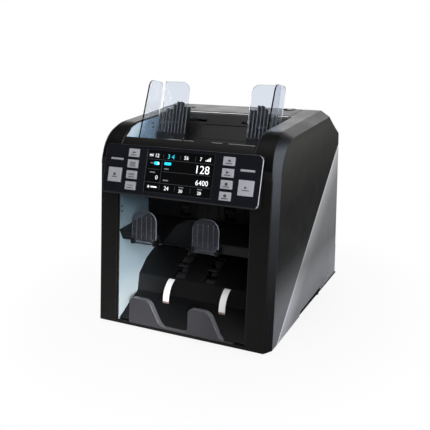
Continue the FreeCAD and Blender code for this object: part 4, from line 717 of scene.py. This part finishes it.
# %% Joining pieces and placing planes
def assemble(name, pieces, body):
    """Join meshes, each with its finish, into one object that rides a body."""
    whole, materials = bmesh.new(), []
    for mesh, material in pieces:
        if material not in materials:
            materials.append(material)
        first = len(whole.faces)
        whole.from_mesh(mesh)
        whole.faces.ensure_lookup_table()
        for face in whole.faces[first:]:
            face.material_index = materials.index(material)
    joined = finished_mesh(whole, name)
    for material in materials:
        joined.materials.append(material)
    thing = add_object(name, joined)
    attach(thing, body)


def plane(origin, across, up):
    """A matrix whose first two axes are given directions and whose third stands out."""
    across, up = Vector(across).normalized(), Vector(up).normalized()
    return Matrix.Translation(Vector(origin) * MM) @ Matrix(
        (across, up, across.cross(up))).transposed().to_4x4()


def text_mesh(words, size, place, align="LEFT"):
    """Flat letters with a slight thickness; the size is in mm."""
    half_thick = 0.015
    curve = bpy.data.curves.new(words, "FONT")
    curve.body, curve.size, curve.extrude = words, size * MM, half_thick * MM
    curve.align_x = align
    curve.resolution_u = 3
    holder = add_object(words, curve)
    mesh = applied(holder)
    bpy.data.objects.remove(holder)
    bpy.data.curves.remove(curve)
    mesh.materials.clear()
    mesh.transform(place)
    return mesh


tilt = math.radians(20.7)
panel_foot = (0, -123.7, 191.2)
PANEL = plane(panel_foot, (1, 0, 0), (0, math.sin(tilt), math.cos(tilt)))


def on_panel(across, rise, out):
    """A place on the control panel, in mm."""
    return PANEL @ Matrix.Translation(Vector((across, rise, out)) * MM)


print("panel plane ready")

# %% [markdown]
# ## The screen's picture
# The picture could be an image on the glass. Thin shapes a hair above it stay sharp at any
# distance and need no file. Its numbers and signs are made up: a big count, a sum below it,
# a column with a switch sign at the left, and a row of small fields above and below.

# %% Signs and numbers of the screen
SCREEN_RISE = 33.2
GLASS = -0.38
picture = []


def sign(outline, material, lift=0.0):
    """A flat sign; its outline is measured from the screen's middle."""
    picture.append((prism(outline, 0, 0.03 + lift, on_panel(0, SCREEN_RISE, GLASS)), material))


def field(across, up, wide, tall, radius, material, lift=0.0):
    """A flat sign in the form of a rectangle with rounded corners."""
    sign(round_box((across, up), wide, tall, radius), material, lift)


def number(words, size, across, up, material, align="LEFT"):
    """Plain figures above a place on the screen."""
    place = on_panel(across, SCREEN_RISE + up, GLASS + 0.02)
    picture.append((text_mesh(words, size, place, align), material))


print("screen functions ready")

# %% Top row of the screen and its lines
field(-43, 20.6, 6.4, 4.4, 0.4, GREY)
field(-43, 20.6, 5.4, 1.0, 0.2, WHITE, 0.01)
number("12", 6.6, -38, 18.3, WHITE)
number("3 4", 8.2, -19, 17.6, CYAN)
number("56", 6.6, 5.5, 18.3, WHITE)
number("7", 6.6, 28, 18.3, WHITE)
for i in range(4):
    field(37 + 2.0 * i, 18.4 + 0.6 * (i + 1), 1.3, 1.2 * (i + 1), 0.2, WHITE)
for across in (-25, 0, 22):
    field(across, 20.4, 0.4, 5, 0.1, LINE)
for across, up, wide in ((0, 15.4, 95), (-38, 2.6, 18), (11, 0.5, 70), (0, -14.8, 95)):
    field(across, up, wide, 0.35, 0.1, LINE)
field(-26, -1, 0.4, 28, 0.1, LINE)
print(len(picture), "signs")

# %% Column and count in the middle of the screen
field(-41.5, 10.4, 4, 1.4, 0.4, GREY)
field(-34, 10.4, 8.6, 4.4, 2.1, CYAN)
sign(disc((-31.9, 10.4), 1.6), WHITE, 0.01)
field(-39, -1.6, 8, 1.5, 0.4, GREY)
number("0", 7.6, -30, -10.6, WHITE, "RIGHT")
field(-17.5, 11, 10, 3.8, 1.0, CYAN)
field(-18.5, 4.2, 7, 1.6, 0.4, GREY)
number("128", 14.5, 44, 2.4, WHITE, "RIGHT")
field(-18, -10.6, 8, 1.6, 0.4, GREY)
number("6400", 9.2, 44, -12.4, WHITE, "RIGHT")
print(len(picture), "signs")

# %% Bottom row of the screen
sign(disc((-42.5, -20.5), 2.2), GREY)
sign(disc((-42.5, -20.5), 1.1), WHITE, 0.01)
field(-34.5, -20.5, 9, 1.7, 0.4, WHITE)
number("24", 7.2, -19, -23.2, WHITE)
for across, words in ((3, "50"), (30, "20")):
    field(across + 3, -17.6, 7, 1.1, 0.3, GREY)
    number(words, 5.8, across, -24.2, WHITE)
for across in (-26, -3, 20):
    field(across, -20.5, 0.4, 6, 0.1, LINE)
assemble("screen_picture", picture, body_of_node["display_module"])
print("screen picture", len(picture), "signs")

# %% [markdown]
# ## Key legends
# Each key carries a dark sign with a thin line under it, printed on its pale top. A picture
# on the key would need unwrapping, so the ink is a thin shape too. A legend rides on its own
# key, so it moves when the key is pressed. A thin dark lip closes the panel's lower edge.

# %% Signs of the keys
CAP = 1.4
cross = [round_box((0, 0), 4.2, 0.6, 0.2), round_box((0, 0), 0.6, 2.6, 0.2)]
square = [round_box((0, 0), 2.4, 2.4, 0.3)]
arrow_right = [[(-1.4, -1.2), (1.6, 0), (-1.4, 1.2)]]
arrow_left = [[(1.4, -1.2), (1.4, 1.2), (-1.6, 0)]]


def bars_sign(count):
    """A sign of short bars, one above the other."""
    return [round_box((0, 0.9 * (i - (count - 1) / 2)), 5.5, 0.5, 0.15) for i in range(count)]


def legend(name, rise, underline, outlines, scale):
    """A dark sign and a line under it on the top of one key."""
    place = on_panel(sum(span(name, "x")) / 2, rise, CAP)
    pieces = [(prism(round_box((0, -2.9), underline, 1.1, 0.3), -0.02, 0.03, place), LEGEND)]
    for outline in outlines:
        scaled_outline = [(x * scale, y * scale + 0.5) for x, y in outline]
        pieces.append((prism(scaled_outline, -0.02, 0.03, place), LEGEND))
    assemble(name + "_legend", pieces, body_of_node[name])


print("signs ready")

# %% Legends on the keys
FIRST_KEY, KEY_PITCH, BIG_KEY = 10.9, 14.5, 23.5
SIGNS = {"left": [bars_sign(1), bars_sign(2), bars_sign(3), cross],
         "right": [[disc((0, 0), 1.3)], square, arrow_right, arrow_left]}
for side in SIDES:
    for row, outlines in enumerate(SIGNS[side]):
        legend(f"{side}_key_{row + 1}", FIRST_KEY + KEY_PITCH * row, 9, outlines, 1.6)
legend("left_big_key", BIG_KEY, 8, [round_box((0, 0), 3, 3, 0.4)], 1.2)
legend("right_big_key", BIG_KEY, 10, [[(-1.4, -1.6), (1.8, 0), (-1.4, 1.6)]], 1.2)
print("legends on", len(KEYS), "keys")


# %% Lip of the panel housing
def bar_on(place, middle, wide, tall, radius, high, low=-0.1, edge=0.0):
    """A low rectangular bar with rounded corners on a plane."""
    return prism(round_box(middle, wide, tall, radius), low, high, place, edge)


assemble("housing_lip", [(bar_on(on_panel(0, 0, 0), (0, -0.4), 226, 2.0, 0.9, 0.05, -0.3),
                          HOUSING_LIP)], "machine")
print("housing lip")

# %% [markdown]
# ## Lid and hopper
# Near its front edge the lid has a dark groove, painted shade, and a pale lip, a painted
# highlight; it also has a ring and a small round mark. The hopper has a light lip at its
# front, a steel strip with a painted highlight, and a raised step on its back wall with a
# dark line of painted shade along its top. Cutting them into the rounded copies would break
# those faces up, so each is a low form on a plane that lies on the part's own face. The
# places of the planes come from the solids.

# %% Lid line, ring and mark
lid_top = plane((0, 0, lid_high), (1, 0, 0), (0, 1, 0))
# Painted shade for the groove and a painted highlight for the lip near the lid's front edge.
assemble("lid_line", [(bar_on(lid_top, (0, 41.7), 183, 4.6, 0.3, 0.05), BLACK_SHADE_AND_INK),
                      (bar_on(lid_top, (0, 37.1), 183, 4.4, 0.3, 0.1), LID_LIP_HIGHLIGHT)], "lid")
assemble("recess_ring", [(flat_ring((73, 88), 9.4, 8.2, -0.1, 0.1, lid_top), BLACK_SHADE_AND_INK)],
         "lid")
assemble("lid_mark", [(prism(disc((-73, 66), 3), -0.1, 0.06, lid_top), BLACK_SHADE_AND_INK)],
         "lid")
print("lid details")

# %% Lip and wall step of the hopper
brow_top = plane((0, -83.2, span("front_bezel", "z")[1] - 0.1), (1, 0, 0), (0, 1, 0))
# A steel strip with a painted highlight along the hopper's front edge.
assemble("hopper_lip", [(bar_on(brow_top, ((low + high) / 2, 0), high - low, 0.7, 0.2, 0.3, -0.2),
                         FEED_LIP_STEEL_AND_HIGHLIGHT) for low, high in ((-30, -9), (-6, 9), (35, 50), (59, 95))],
         "machine")
wall_foot, wall_top = span("hopper_back_wall", "z")
wall = plane((0, span("hopper_back_wall", "y")[0], wall_foot), (1, 0, 0),
             (0, 28, wall_top - wall_foot))
# The black line along the step's top is painted shade.
assemble("wall_step", [(bar_on(wall, (6, 16), 74, 22, 1.5, 0.5, edge=0.3), FINISHES["hopper"]),
                       (bar_on(wall, (6, 27.7), 76, 1.3, 0.3, 0.08), BLACK_SHADE_AND_INK)],
         "machine")
print("hopper details")

# %% [markdown]
# The floor would shine as bright points through the gaps between lid and rear door, between
# door and rear panel, and behind the left pillar. The gaps could be closed in the solids, but
# the lid and the door need them to open. Three thin black slabs behind the gaps keep the light
# out, as the ribs of a moulded casing do.


# %% Closing strips behind the gaps
def slab(low, high):
    """A box between two corners in mm."""
    (x0, y0, z0), (x1, y1, z1) = low, high
    return prism([(x0, y0), (x1, y0), (x1, y1), (x0, y1)], z0, z1, Matrix.Identity(4), 0.2)


plate_inside, plate_outside = span("right_side_frame", "x")
inside = plate_inside - 0.1
assemble("closing_strips", [(slab(low, high), FINISHES["hopper"]) for low, high in (
    ((-inside, 119.5, 210.2), (inside, 121, 236)), ((-inside, 125, 60), (inside, 126.4, 84)),
    ((-124, -112, 8), (-100.5, -110.6, 40)))], "machine")
print("closing strips")

# %% [markdown]
# The mains switch carries a bar on one half of its rocker and a ring on the other. They ride
# on the switch body, so they tip with it. The ring could be an open one, but a pale disc with
# a dark one on it needs no new function.

# %% Marks of the mains switch
rocker_middle = sum(span("power_switch", "z")) / 2
mark_rise, rocker_across, rocker_face, lean = 4.5, -34, 137.72, 1.3
upper = plane((rocker_across, rocker_face, rocker_middle + mark_rise), (-1, 0, 0), (0, lean, 9))
lower = plane((rocker_across, rocker_face, rocker_middle - mark_rise), (-1, 0, 0), (0, -lean, 9))
assemble("rocker_marks", [(bar_on(upper, (0, 0), 0.9, 3.6, 0.3, 0.05), LEGEND_PALE),
                          (prism(disc((0, 0), 1.9), -0.1, 0.05, lower), LEGEND_PALE),
                          (prism(disc((0, 0), 1.2), -0.1, 0.09, lower), BLACK_SHADE_AND_INK)],
         "switch")
print("switch marks")

# %% [markdown]
# ## Things that repeat
# Screws, ribs and the parts on a circuit board repeat one form many times. A loop could copy
# a mesh for each. A node tree keeps the form and its sizes in one place. Each of the four
# trees turns its instances into real faces and gives them a finish, and the result is then
# kept as plain mesh.


# %% Node tree helpers
def new_tree(name, inputs):
    """A geometry tree with named inputs; returns the tree, its ends and the input ids."""
    tree = bpy.data.node_groups.new(name, "GeometryNodeTree")
    face = tree.interface
    face.new_socket("Geometry", in_out="INPUT", socket_type="NodeSocketGeometry")
    kinds = {float: "NodeSocketFloat", int: "NodeSocketInt"}
    ids = {}
    for label, value in inputs.items():
        kind = kinds.get(type(value), "NodeSocketMaterial")
        ids[label] = face.new_socket(label, in_out="INPUT", socket_type=kind).identifier
    face.new_socket("Geometry", in_out="OUTPUT", socket_type="NodeSocketGeometry")
    start = tree.nodes.new("NodeGroupInput")
    end = tree.nodes.new("NodeGroupOutput")
    return tree, start, end, ids


def repeat(tree, points, form, finish_output):
    """Put a form on every point, make real faces of all and give them a finish."""
    put = node(tree, "GeometryNodeInstanceOnPoints")
    real = node(tree, "GeometryNodeRealizeInstances")
    coat = node(tree, "GeometryNodeSetMaterial")
    wire(tree, (points, put.inputs["Points"]), (form, put.inputs["Instance"]),
         (put.outputs["Instances"], real.inputs["Geometry"]),
         (real.outputs["Geometry"], coat.inputs["Geometry"]),
         (finish_output, coat.inputs["Material"]))
    return put, coat.outputs["Geometry"]


def rib_block(tree, *sizes):
    """A block whose three sizes come from outputs of the tree."""
    together = node(tree, "ShaderNodeCombineXYZ")
    block = node(tree, "GeometryNodeMeshCube")
    wire(tree, *zip(sizes, together.inputs), (together.outputs["Vector"], block.inputs["Size"]))
    return block.outputs["Mesh"]


def grow(name, mesh, tree, ids, inputs, body, place=None):
    """Run a tree on a mesh of places and keep its result as plain mesh on a body."""
    holder = add_object(name + "_holder", mesh)
    modifier = holder.modifiers.new("grow", "NODES")
    modifier.node_group = tree
    for label, value in inputs.items():
        modifier[ids[label]] = value
    made = applied(holder)
    bpy.data.objects.remove(holder)
    if place:
        made.transform(place)
    thing = add_object(name, made)
    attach(thing, body)
    print(name, len(made.polygons), "faces")


print("tree helpers ready")

# %% [markdown]
# A screw head is a short cylinder with a low cone on it and a cross-shaped recess. The recess
# could be cut with a boolean; two crossed blocks in black, painted shade, look the same from a
# step away and keep the mesh light. The blocks are marked with an attribute, so they can get
# their painted shade after all screws have become real faces. Points carry the direction of
# each screw.

# %% Screw heads
screws, start, end, screw_ids = new_tree("screw_heads", {
    "Head radius": 0.0025, "Head height": 0.001, "Slot width": 0.0006, "Finish": None,
    "Recess": None})
radius, height = start.outputs["Head radius"], start.outputs["Head height"]


def share_of(output, factor):
    """A size of the screw multiplied by a number."""
    times = node(screws, "ShaderNodeMath", operation="MULTIPLY")
    times.inputs[1].default_value = factor
    wire(screws, (output, times.inputs[0]))
    return times.outputs[0]


def raised(mesh_output, rise):
    """A form of the screw, moved up by a size."""
    lift = node(screws, "ShaderNodeCombineXYZ")
    moved = node(screws, "GeometryNodeTransform")
    wire(screws, (rise, lift.inputs["Z"]), (lift.outputs["Vector"], moved.inputs["Translation"]),
         (mesh_output, moved.inputs["Geometry"]))
    return moved.outputs["Geometry"]


half_height = share_of(height, 0.5)
head = node(screws, "GeometryNodeMeshCylinder", Vertices=24)
dome = node(screws, "GeometryNodeMeshCone", Vertices=24)
wire(screws, (radius, head.inputs["Radius"]), (height, head.inputs["Depth"]),
     (radius, dome.inputs["Radius Bottom"]), (share_of(radius, 0.72), dome.inputs["Radius Top"]),
     (share_of(height, 0.4), dome.inputs["Depth"]))
print("head and dome")

# %% Cross recess of the screws
slot = rib_block(screws, share_of(radius, 1.25), start.outputs["Slot width"], half_height)
slot_turn = node(screws, "GeometryNodeTransform", Rotation=(0, 0, math.pi / 2))
slot_pair = node(screws, "GeometryNodeJoinGeometry")
wire(screws, (slot, slot_turn.inputs["Geometry"]), (slot, slot_pair.inputs["Geometry"]),
     (slot_turn.outputs["Geometry"], slot_pair.inputs["Geometry"]))
mark = node(screws, "GeometryNodeStoreNamedAttribute", data_type="BOOLEAN", domain="FACE")
mark.inputs["Name"].default_value = "recess"
mark.inputs["Value"].default_value = True
whole_screw = node(screws, "GeometryNodeJoinGeometry")
wire(screws, (raised(slot_pair.outputs["Geometry"], share_of(height, 0.72)),
              mark.inputs["Geometry"]),
     (head.outputs["Mesh"], whole_screw.inputs["Geometry"]),
     (raised(dome.outputs["Mesh"], half_height), whole_screw.inputs["Geometry"]),
     (mark.outputs["Geometry"], whole_screw.inputs["Geometry"]))
print("screw form")

# %% A screw on every point
turn = node(screws, "GeometryNodeInputNamedAttribute", data_type="FLOAT_VECTOR")
turn.inputs["Name"].default_value = "turn"
to_rotation = node(screws, "FunctionNodeEulerToRotation")
dark = node(screws, "GeometryNodeInputNamedAttribute", data_type="BOOLEAN")
dark.inputs["Name"].default_value = "recess"
coat_dark = node(screws, "GeometryNodeSetMaterial")
put, coated = repeat(screws, start.outputs["Geometry"], whole_screw.outputs["Geometry"],
                     start.outputs["Finish"])
wire(screws, (turn.outputs["Attribute"], to_rotation.inputs["Euler"]),
     (to_rotation.outputs["Rotation"], put.inputs["Rotation"]),
     (coated, coat_dark.inputs["Geometry"]), (dark.outputs["Attribute"], coat_dark.inputs["Selection"]),
     (start.outputs["Recess"], coat_dark.inputs["Material"]),
     (coat_dark.outputs["Geometry"], end.inputs["Geometry"]))


def places_mesh(places):
    """Points with a direction each: the screw heads stand along it."""
    mesh = bpy.data.meshes.new("places")
    mesh.from_pydata([tuple(Vector(spot) * MM) for spot, _way in places], [], [])
    turns = mesh.attributes.new("turn", "FLOAT_VECTOR", "POINT")
    for item, (_spot, way) in zip(turns.data, places):
        item.vector = Vector(way).to_track_quat("Z", "Y").to_euler()
    return mesh


def add_screws(name, places, head_radius, body, material):
    """Screw heads of one size and finish at places in mm."""
    # The cross recess gets black: painted shade.
    sizes = {"Head radius": head_radius * MM, "Head height": 0.45 * head_radius * MM,
             "Slot width": 0.28 * head_radius * MM, "Finish": material, "Recess": BLACK_SHADE_AND_INK}
    grow(name, places_mesh(places), screws, screw_ids, sizes, body)


print("screw tree ready")

# %% Screws and rivets of the machine
axis_of_body = {joint["child"]: [round(length / MM, 3) for length in joint["pos_m"]]
                for joint in behaviour["joints"] if "pos_m" in joint}
motor_y, motor_z = axis_of_body["motor_drive"][1:]
rear_face = span("rear_panel", "y")[1]
board_face = span("main_board", "x")[1]
board_y, board_z = span("main_board", "y"), span("main_board", "z")
inset, sink, motor_pitch = 6, 0.05, 14
add_screws("plate_rivets", [((sink - plate_inside, y, z), (1, 0, 0)) for y, z in (
    (-104.6, 165.1), (-105.6, 158.2), (-13.3, 262.4), (-14.0, 256.8))], 1.7, "machine",
           BRASS)
add_screws("rear_panel_screws", [((x, rear_face, z), (0, 1, 0)) for x in (-86, 0, 86)
                                 for z in (12, 67)], 2.8, "machine", SCREW)
add_screws("board_screws", [((board_face, y, z), (1, 0, 0))
                            for y in (board_y[0] + inset, board_y[1] - inset)
                            for z in (board_z[0] + inset, board_z[1] - inset)],
           2.8, "machine", ZINC)
add_screws("motor_screws", [((-plate_outside, motor_y + motor_pitch * sy,
                              motor_z + motor_pitch * sz), (-1, 0, 0))
                            for sy in (-1, 1) for sz in (-1, 1)], 2.5, "machine", ZINC)
add_screws("door_screws", [((x, rear_face, z), (0, 1, 0)) for x in (-86, 86) for z in (90, 205)],
           2.8, "back_door", SCREW)
add_screws("frame_screws", [((side * plate_outside, y, z), (side, 0, 0)) for side in (-1, 1)
                            for y, z in ((-100, 13), (20, 30), (20, 185), (120, 100), (120, 205))],
           3.0, "machine", ZINC)
print("screws made")

# %% [markdown]
# The rubber rollers have fine treads and the pulley has teeth: ribs that stand round an axis.
# An array modifier with a turned helper object could make them, but a tree needs no helper. A
# circle gives the points, and each rib turns by its share of the full circle.

# %% Rings of ribs
rib_ring, start, end, ring_ids = new_tree("ring_of_ribs", {
    "Count": 32, "Radius": 0.01, "Rib width": 0.001, "Rib height": 0.0008, "Rib length": 0.01,
    "Finish": None})
circle = node(rib_ring, "GeometryNodeMeshCircle")
index = node(rib_ring, "GeometryNodeInputIndex")
share = node(rib_ring, "ShaderNodeMath", operation="DIVIDE")
angle = node(rib_ring, "ShaderNodeMath", operation="MULTIPLY")
angle.inputs[1].default_value = 2 * math.pi
about = node(rib_ring, "ShaderNodeCombineXYZ")
to_rotation = node(rib_ring, "FunctionNodeEulerToRotation")
rib = rib_block(rib_ring, start.outputs["Rib height"], start.outputs["Rib width"],
                start.outputs["Rib length"])
put, coated = repeat(rib_ring, circle.outputs["Mesh"], rib, start.outputs["Finish"])
wire(rib_ring, (start.outputs["Count"], circle.inputs["Vertices"]),
     (start.outputs["Radius"], circle.inputs["Radius"]),
     (index.outputs["Index"], share.inputs[0]), (start.outputs["Count"], share.inputs[1]),
     (share.outputs[0], angle.inputs[0]), (angle.outputs[0], about.inputs["Z"]),
     (about.outputs["Vector"], to_rotation.inputs["Euler"]),
     (to_rotation.outputs["Rotation"], put.inputs["Rotation"]),
     (coated, end.inputs["Geometry"]))


def add_ring(name, middle, ring_radius, wide, count, body, slot_name, rib_wide, rib_tall=0.7):
    """Ribs round an axis along X, centred on a point in mm."""
    sizes = {"Count": count, "Radius": ring_radius * MM, "Rib width": rib_wide * MM,
             "Rib height": rib_tall * MM, "Rib length": wide * MM, "Finish": FINISHES[slot_name]}
    grow(name, bpy.data.meshes.new("empty"), rib_ring, ring_ids, sizes, body,
         plane(middle, (0, 1, 0), UP))


print("ring tree ready")

# %% Treads of the rollers and teeth of the pulley
for body, places, roller_radius, wide, count, rib_wide in (
        ("pickup", (-14.3, 14.3), 11.5, 6.6, 30, 1.1), ("feed", (-40, 0, 40), 13, 13.4, 36, 1.1),
        ("transport", (-50, 0, 50), 30, 15.4, 72, 1.2)):
    for order, across in enumerate(places, 1):
        add_ring(f"{body}_tread_{order}", (across, *axis_of_body[body][1:]), roller_radius, wide,
                 count, body, slot_of_node[body + "_rollers"], rib_wide)
add_ring("pulley_teeth", (-104.5, motor_y, motor_z), 9, 2.0, 24, "motor_drive", "pulley", 0.9, 0.4)
print("treads made")

# %% [markdown]
# Vents, grips and cooling bands are straight rows of ribs. They could be cut into the casing,
# but shallow ribs read the same and leave the rounded copies whole; the vents' ribs are black,
# painted shade of the slots. A line of points gives each row its pitch.

# %% Rows of ribs
rib_row, start, end, row_ids = new_tree("row_of_ribs", {
    "Count": 10, "Pitch": 0.004, "Rib length": 0.03, "Rib width": 0.0016, "Rib height": 0.0008,
    "Finish": None})
line = node(rib_row, "GeometryNodeMeshLine")
step = node(rib_row, "ShaderNodeCombineXYZ")
rib = rib_block(rib_row, start.outputs["Rib width"], start.outputs["Rib length"],
                start.outputs["Rib height"])
_put, coated = repeat(rib_row, line.outputs["Mesh"], rib, start.outputs["Finish"])
wire(rib_row, (start.outputs["Count"], line.inputs["Count"]),
     (start.outputs["Pitch"], step.inputs["X"]), (step.outputs["Vector"], line.inputs["Offset"]),
     (coated, end.inputs["Geometry"]))


def add_row(name, origin, along, up, count, pitch, size, body, material):
    """Ribs in a row that starts at a point and runs along a direction; size is l, w, h."""
    sizes = {"Count": count, "Pitch": pitch * MM, "Rib length": size[0] * MM,
             "Rib width": size[1] * MM, "Rib height": size[2] * MM, "Finish": material}
    grow(name, bpy.data.meshes.new("empty"), rib_row, row_ids, sizes, body,
         plane(origin, along, up))


supply_middle = sum(span("power_supply", "y")) / 2
# Black vent ribs: painted shade of slots.
add_row("rear_vents", (48, rear_face, 20), UP, (1, 0, 0), 11, 4, (70, 1.8, 0.8), "machine",
        BLACK_SHADE_AND_INK)
add_row("door_grip", (-18, rear_face, 211), (1, 0, 0), UP, 13, 3, (8, 1.3, 1.2), "back_door",
        FINISHES["cover"])
# Black vent ribs: painted shade of slots.
add_row("supply_vents", (30, supply_middle, span("power_supply", "z")[1]), (1, 0, 0), (0, 1, 0),
        12, 5, (40, 2.2, 0.3), "machine", BLACK_SHADE_AND_INK)
add_row("motor_bands", (-80, motor_y, span("main_motor", "z")[1]), (1, 0, 0), (0, 1, 0), 9, 4,
        (8, 1.6, 0.7), "machine", FINISHES["motor"])
print("rows made")

# %% [markdown]
# A circuit board is full of small dark blocks in rows, with gaps and in many sizes. Placing
# them by hand would take long. A grid of points, of which a fixed seed keeps about half and
# gives each a size, looks as irregular and comes out the same every time.

# %% Parts on the circuit board
chips, start, end, chip_ids = new_tree("board_parts", {
    "Long": 0.12, "Tall": 0.1, "Columns": 9, "Rows": 8, "Largest": 0.012, "Seed": 5,
    "Finish": None})
grid = node(chips, "GeometryNodeMeshGrid")
chance = node(chips, "FunctionNodeRandomValue", data_type="BOOLEAN")
chance.inputs["Probability"].default_value = 0.55
some = node(chips, "GeometryNodeMeshToPoints")
large = node(chips, "FunctionNodeRandomValue", data_type="FLOAT_VECTOR")
large.inputs[0].default_value = (0.25, 0.25, 0.2)
large.inputs[1].default_value = (1.0, 0.8, 0.5)
sized = node(chips, "ShaderNodeVectorMath", operation="SCALE")
one = node(chips, "GeometryNodeMeshCube")
put, coated = repeat(chips, some.outputs["Points"], one.outputs["Mesh"], start.outputs["Finish"])
wire(chips, (start.outputs["Long"], grid.inputs["Size X"]),
     (start.outputs["Tall"], grid.inputs["Size Y"]),
     (start.outputs["Columns"], grid.inputs["Vertices X"]),
     (start.outputs["Rows"], grid.inputs["Vertices Y"]), (grid.outputs["Mesh"], some.inputs["Mesh"]),
     (start.outputs["Seed"], chance.inputs["Seed"]), (chance.outputs[3], some.inputs["Selection"]),
     (start.outputs["Seed"], large.inputs["Seed"]), (large.outputs[0], sized.inputs[0]),
     (start.outputs["Largest"], sized.inputs["Scale"]),
     (sized.outputs["Vector"], put.inputs["Scale"]), (coated, end.inputs["Geometry"]))
chip_rise, long, tall, largest = 0.8, 112, 92, 12
sizes = {"Long": long * MM, "Tall": tall * MM, "Columns": 9, "Rows": 8,
         "Largest": largest * MM, "Seed": 5, "Finish": CHIP}
grow("main_board_parts", bpy.data.meshes.new("empty"), chips, chip_ids, sizes, "machine",
     plane((board_face + chip_rise, sum(board_y) / 2, sum(board_z) / 2), (0, 1, 0), UP))
